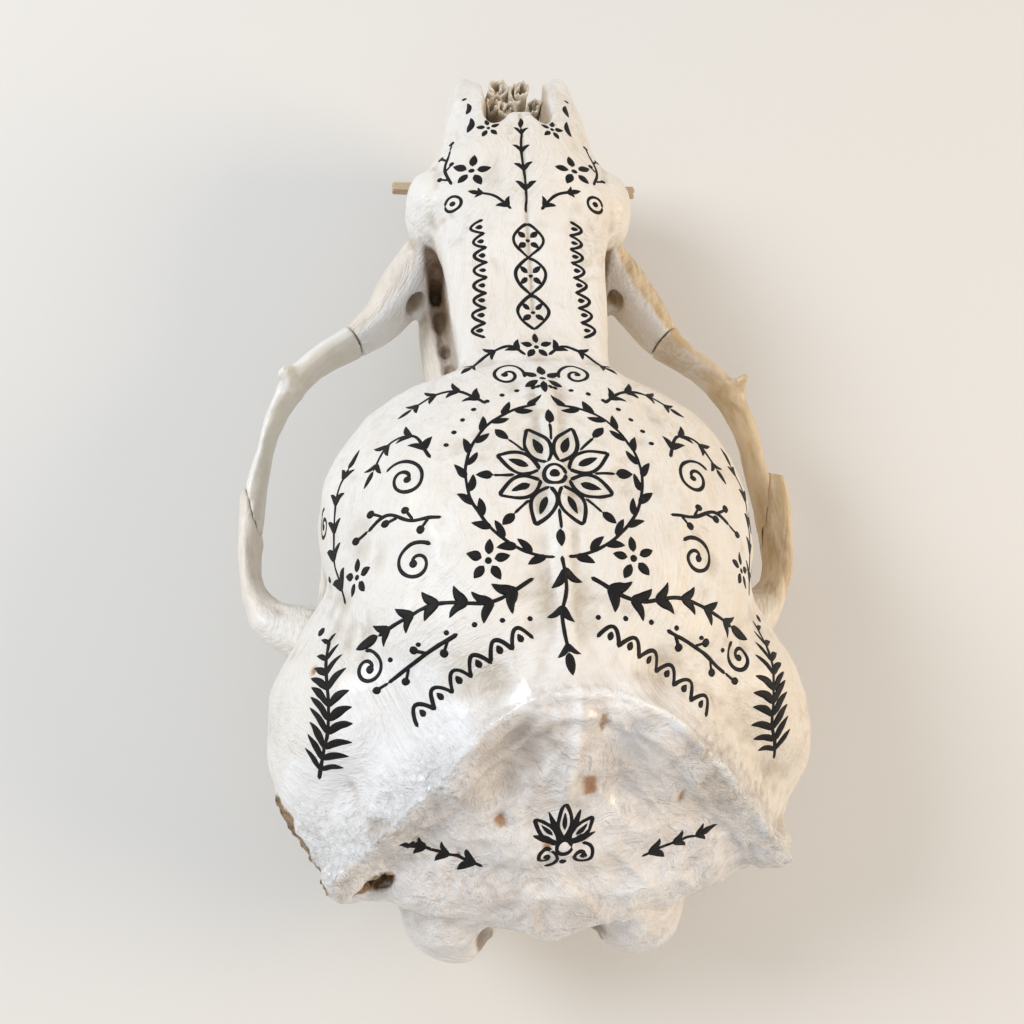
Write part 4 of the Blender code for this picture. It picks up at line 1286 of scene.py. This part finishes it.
def roof_marks():
    """The drawing on top, seen straight from above."""
    marks = rosette(CROWN, 14.5)
    pair = wreath(CROWN, 17.6, 17, 4.0)
    pair += sprig([(24.5, 99.5), (27.5, 105.5), (32.5, 105.0), (36.0, 99.0)], 4, 4.0)
    pair += spiral((29.5, 95.5), 0.6, 4.4, 1.5, 1)
    pair += berries([(22.5, 86.5), (28.0, 86.5), (33.0, 88.5), (37.0, 86.5)], 5, 2.8)
    pair += sprig([(12.5, 113.0), (17.5, 117.0), (23.0, 117.0), (28.0, 114.0)], 4, 3.8)
    for step in range(9):
        turn = 0.35 + 0.16 * step
        pair += dot((22.4 * math.cos(turn), CROWN[1] + 22.4 * math.sin(turn)), 0.55)
    for step in range(6):
        pair += dot((6.5 + 5.2 * step, 65.8 - 0.22 * step * step), 0.5)
    pair += spiral((7.4, 121.5), 3.4, 3.8, 1.5, -1)
    pair += sprig([(5.5, 73.5), (14.0, 69.0), (24.0, 69.5), (35.0, 65.0)], 6, 5.2)
    pair += spiral((27.5, 78.0), 2.3, 4.2, 1.4, -1)
    pair += blossom((14.0, 77.0), 0.4, 4.2)
    pair += berries([(20.0, 63.5), (26.0, 60.5), (33.0, 56.0)], 4, 2.6)
    pair += scallops([(6.0, 62.0), (13.0, 58.5), (20.5, 53.5), (27.5, 47.5)], 4.2)
    pair += scallops([(10.4, 167.0), (9.8, 157.0), (10.2, 147.0), (11.2, 134.0)], 4.1)
    pair += sprig([(2.6, 128.5), (6.0, 131.0), (11.0, 129.0), (15.0, 125.0)], 3, 3.4)
    marks += mirrored(pair + snout_marks())
    marks += blossom((0.0, 120.0), math.pi / 2, 4.4, 6)
    marks += sprig([(0, 77.5), (0.6, 72.0), (-0.5, 65.5), (0.2, 59.0)], 3, 4.6)
    wave = np.linspace(0, 1, 60)
    for side in (-1, 1):
        path = np.column_stack([side * 3.6 * np.sin(wave * 3 * math.pi), 136.0 + 30.0 * wave])
        marks += line(evenly(path))
    for y in (141.0, 151.0, 161.0):
        marks += blossom((0, y), math.pi / 4, 3.3, 4)
    marks += blossom((0, 131.0), math.pi / 2, 3.6, 5)
    return marks + sprig([(0, 169.0), (0.3, 178.0), (-0.2, 187.0), (0.1, 195.0)], 4, 4.0, first=0.25)


# Sheets on steep places: what is drawn, on which side, a point near the sheet's middle and its way out
STEEP_SHEETS = (
    ("fern", -1, (-43.0, 52.5, 76.0), (-0.46, -0.30, 0.84)),
    ("fern", 1, (42.5, 53.0, 76.0), (0.50, -0.30, 0.82)),
    ("spray", -1, (-43.5, 88.0, 78.0), (-0.78, 0.05, 0.62)),
    ("spray", 1, (43.5, 88.0, 78.0), (0.78, 0.05, 0.62)),
    ("palmette", 1, (0.5, 25.5, 76.0), (0.02, -0.67, 0.74)),
    ("twig", -1, (-21.0, 24.0, 72.0), (-0.2, -0.62, 0.76)),
    ("twig", 1, (23.0, 24.5, 72.0), (0.2, -0.62, 0.76)),
)


def steep_marks(kind, side):
    if kind == "palmette":
        return palmette(10.5)
    if kind == "twig":
        stem = [(side * -6.0, -2.5), (0.0, -0.5), (side * 6.5, 1.0)]
        return sprig(stem, 3, 4.4)
    if kind == "spray":
        stem = [(side * -1.0, -15.0), (side * 1.0, -6.0), (0.0, 4.0), (side * -3.0, 14.0)]
        marks = sprig(stem, 5, 5.0) + blossom((side * -6.5, -11.0), 0.3, 4.0)
        return marks + spiral((side * 6.0, 4.0), 1.2, 3.6, 1.4, -side) + dot((side * 5.5, -8.0), 0.8)
    stem = [(side * 3.0, -13.5), (side * -0.5, -5.0), (side * -1.0, 4.0), (side * 3.5, 13.5)]
    marks = fern(stem, 10, 6.2) + dot((side * 6.5, 14.5), 0.9)
    return marks + spiral((side * -8.5, 9.5), 2.0, 3.4, 1.4, side)


class Paper:
    """Lays marks on the bone: each sheet has a middle and its own right, up and outward directions."""

    def __init__(self, bone):
        places = to_skull(column_array(bone.data.vertices, "co", 3))
        faces = [tuple(p.vertices) for p in bone.data.polygons]
        self.tree = BVHTree.FromPolygons(places.tolist(), faces)
        self.draw = np.random.default_rng(12)
        self.points, self.faces = [], []

    def lay(self, marks, middle, out):
        """Draws on a sheet that faces out, with its right as near to +x as can be."""
        out = np.asarray(out, float) / np.linalg.norm(out)
        across = np.array([1.0, 0, 0]) - out * out[0]
        across /= np.linalg.norm(across)
        up = np.cross(out, across)
        for path, half in marks:
            shake = self.draw.integers(1, 9999)
            spots = np.column_stack([path, path[:, 0] * 0])
            astray = np.column_stack([lattice_noise(spots, 3.2, shake + k) for k in range(2)])
            path = path + PEN_SHAKE * astray
            half = half * (1 + PEN_SWELL * lattice_noise(spots, 1.8, shake + 2))
            starts = np.asarray(middle) + path[:, :1] * across + path[:, 1:] * up + SHEET_HEIGHT * out
            self.ribbon(starts, -out, half)

    def landed(self, starts, way):
        """Where the rays meet the bone, and the longest run of them without a step."""
        hits = [self.tree.ray_cast(Vector(s), Vector(way)) for s in starts.tolist()]
        spots = np.array([h[0] if h[0] is not None else (1e6 * k, 0, 0) for k, h in enumerate(hits)])
        normals = np.array([h[1] if h[1] is not None else (0, 0, 1) for h in hits])
        steps = np.flatnonzero(np.linalg.norm(np.diff(spots, axis=0), axis=1) > WIDEST_STEP)
        bounds = np.concatenate([[0], steps + 1, [len(spots)]])
        longest = np.argmax(np.diff(bounds))
        return spots, normals, slice(bounds[longest], bounds[longest + 1])

    def ribbon(self, starts, way, half):
        spots, normals, run = self.landed(starts, way)
        centre, normal, half = spots[run], normals[run], half[run]
        if len(centre) < max(4, 0.6 * len(starts)) or centre[0, 0] > 1e5:
            return
        for _ in range(3):
            normal[1:-1] = (normal[:-2] + 2 * normal[1:-1] + normal[2:]) / 4
        normal /= np.linalg.norm(normal, axis=1)[:, None]
        side = np.cross(np.gradient(centre, axis=0), normal)
        side /= np.linalg.norm(side, axis=1)[:, None]
        rows = []
        for share, lift in zip((-1, -0.5, 0, 0.5, 1), INK_LIFTS):
            wanted = centre + side * (share * half)[:, None]
            found = np.array([self.tree.find_nearest(Vector(w))[0] for w in wanted.tolist()])
            rows.append(found + normal * lift)
        rows.append(centre - normal * INK_ROOT)
        self.add(np.stack(rows, axis=1))

    def add(self, sections):
        count, wide = sections.shape[:2]
        first = len(self.points)
        self.points += sections.reshape(-1, 3).tolist()
        self.faces += grid_faces(count, wide, True, first)
        self.faces.append(tuple(range(first + wide - 1, first - 1, -1)))
        last = first + (count - 1) * wide
        self.faces.append(tuple(range(last, last + wide)))


class SKULL_OT_ink(bpy.types.Operator):
    """Draws the leaf and flower ornament on the bone in black ink"""
    bl_idname = "skull.ink"
    bl_label = "Ink"

    def execute(self, context):
        paper = Paper(bpy.data.objects["skull_surface"])
        paper.lay(roof_marks(), (0.0, 0.0, 70.0), (0.0, 0.0, 1.0))
        for kind, side, middle, out in STEEP_SHEETS:
            paper.lay(steep_marks(kind, side), middle, out)
        obj = new_mesh_object("ink", to_frame(np.array(paper.points)).tolist(), paper.faces)
        point_out(obj)
        obj.data.materials.append(ink_material())
        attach(obj, "root")
        return {"FINISHED"}


FLOOR_HALF = 2.0
SKY = (0.97, 0.97, 1.0, 1)
SKY_STRENGTH = 0.6


class SKULL_OT_stage(bpy.types.Operator):
    """Sets the pale floor, the soft lights and the camera"""
    bl_idname = "skull.stage"
    bl_label = "Stage"

    def execute(self, context):
        stage = context.scene.skull_stage
        corners = [(x * FLOOR_HALF, y * FLOOR_HALF, 0) for x, y in ((-1, -1), (1, -1), (1, 1), (-1, 1))]
        floor = new_mesh_object("floor", corners, [(0, 1, 2, 3)], smooth=False)
        material, n, shader = new_material("pale floor")
        mottle = n.noise(n.place(), 6.0, 3.0)
        tint = [c * 0.985 for c in stage.floor_colour]
        n.feed(shader, "Base Color", n.mix(mottle, stage.floor_colour, tint))
        shader.inputs["Roughness"].default_value = 0.85
        floor.data.materials.append(material)
        add_area("key", (-0.75, 0.25, 0.75), 0.4, stage.key_power, (0.93, 0.97, 1.0))
        add_area("warm", (0.9, -0.15, 0.6), 0.5, stage.warm_power, (1.0, 0.79, 0.53))
        world = bpy.data.worlds.new("room")
        world.use_nodes = True
        sky = world.node_tree.nodes["Background"].inputs
        sky["Color"].default_value = SKY
        sky["Strength"].default_value = SKY_STRENGTH
        context.scene.world = world
        context.scene.view_settings.view_transform = "Standard"
        camera = linked("camera", bpy.data.cameras.new("camera"))
        camera.data.sensor_width = SENSOR
        camera.data.lens = SENSOR * FOCAL / PICTURE
        camera.data.clip_start = 0.01
        camera.matrix_world = camera_matrix()
        context.scene.camera = camera
        return {"FINISHED"}


# The camera, fitted to points on the photo of 1024 by 1024 pixels
PICTURE = 1024
SENSOR = 36.0
FOCAL = 1006.0
CAMERA_PLACE = (-28.5, 31.4, 281.8)
CAMERA_PITCH, CAMERA_YAW, CAMERA_ROLL = 72.36, 19.4, 17.89


def camera_matrix():
    """Place and turn of the camera: pitch down, yaw towards +X, and roll about the view."""
    pitch, yaw, roll = (math.radians(a) for a in (CAMERA_PITCH, CAMERA_YAW, CAMERA_ROLL))
    ahead = Vector((math.sin(yaw) * math.cos(pitch), math.cos(yaw) * math.cos(pitch), -math.sin(pitch)))
    right = ahead.cross(Vector((0, 0, 1))).normalized()
    up = right.cross(ahead)
    turned_right = right * math.cos(roll) + up * math.sin(roll)
    turned_up = up * math.cos(roll) - right * math.sin(roll)
    place = Vector(to_frame(np.array(CAMERA_PLACE)).tolist())
    matrix = Matrix((turned_right, turned_up, -ahead)).transposed().to_4x4()
    matrix.translation = place
    return matrix


def add_area(name, place, size, power, colour):
    lamp = bpy.data.lights.new(name, "AREA")
    lamp.size = size
    lamp.energy = power
    lamp.color = colour
    obj = linked(name, lamp)
    obj.location = place
    obj.rotation_euler = (Vector((0, 0, 0.04)) - Vector(place)).to_track_quat("-Z", "Y").to_euler()


class SKULL_PT_panel(bpy.types.Panel):
    """Lists the pieces of the skull"""
    bl_label = "Painted skull"
    bl_idname = "SKULL_PT_panel"
    bl_space_type = "VIEW_3D"
    bl_region_type = "UI"
    bl_category = "Skull"

    def draw(self, context):
        for operator in OPERATORS:
            self.layout.operator(operator.bl_idname)
        for group in ("skull_bone", "skull_paint", "skull_ink", "skull_stage"):
            box = self.layout.box()
            settings = getattr(context.scene, group)
            for name in settings.__annotations__:
                box.prop(settings, name)


OPERATORS = (SKULL_OT_surface, SKULL_OT_cheeks, SKULL_OT_teeth, SKULL_OT_nose, SKULL_OT_stick,
             SKULL_OT_ink, SKULL_OT_stage)
SETTINGS = {"skull_bone": BoneSettings, "skull_paint": PaintSettings, "skull_ink": InkSettings,
            "skull_stage": StageSettings}


def register():
    for kind in (*SETTINGS.values(), *OPERATORS, SKULL_PT_panel):
        bpy.utils.register_class(kind)
    for name, kind in SETTINGS.items():
        setattr(bpy.types.Scene, name, bpy.props.PointerProperty(type=kind))


def unregister():
    for name in SETTINGS:
        delattr(bpy.types.Scene, name)
    for kind in (SKULL_PT_panel, *reversed(OPERATORS), *reversed(SETTINGS.values())):
        bpy.utils.unregister_class(kind)


def main():
    register()
    bpy.ops.skull.surface()
    bpy.ops.skull.cheeks()
    bpy.ops.skull.teeth()
    bpy.ops.skull.nose()
    bpy.ops.skull.stick()
    bpy.ops.skull.ink()
    bpy.ops.skull.stage()


if __name__ == "__main__":
    main()
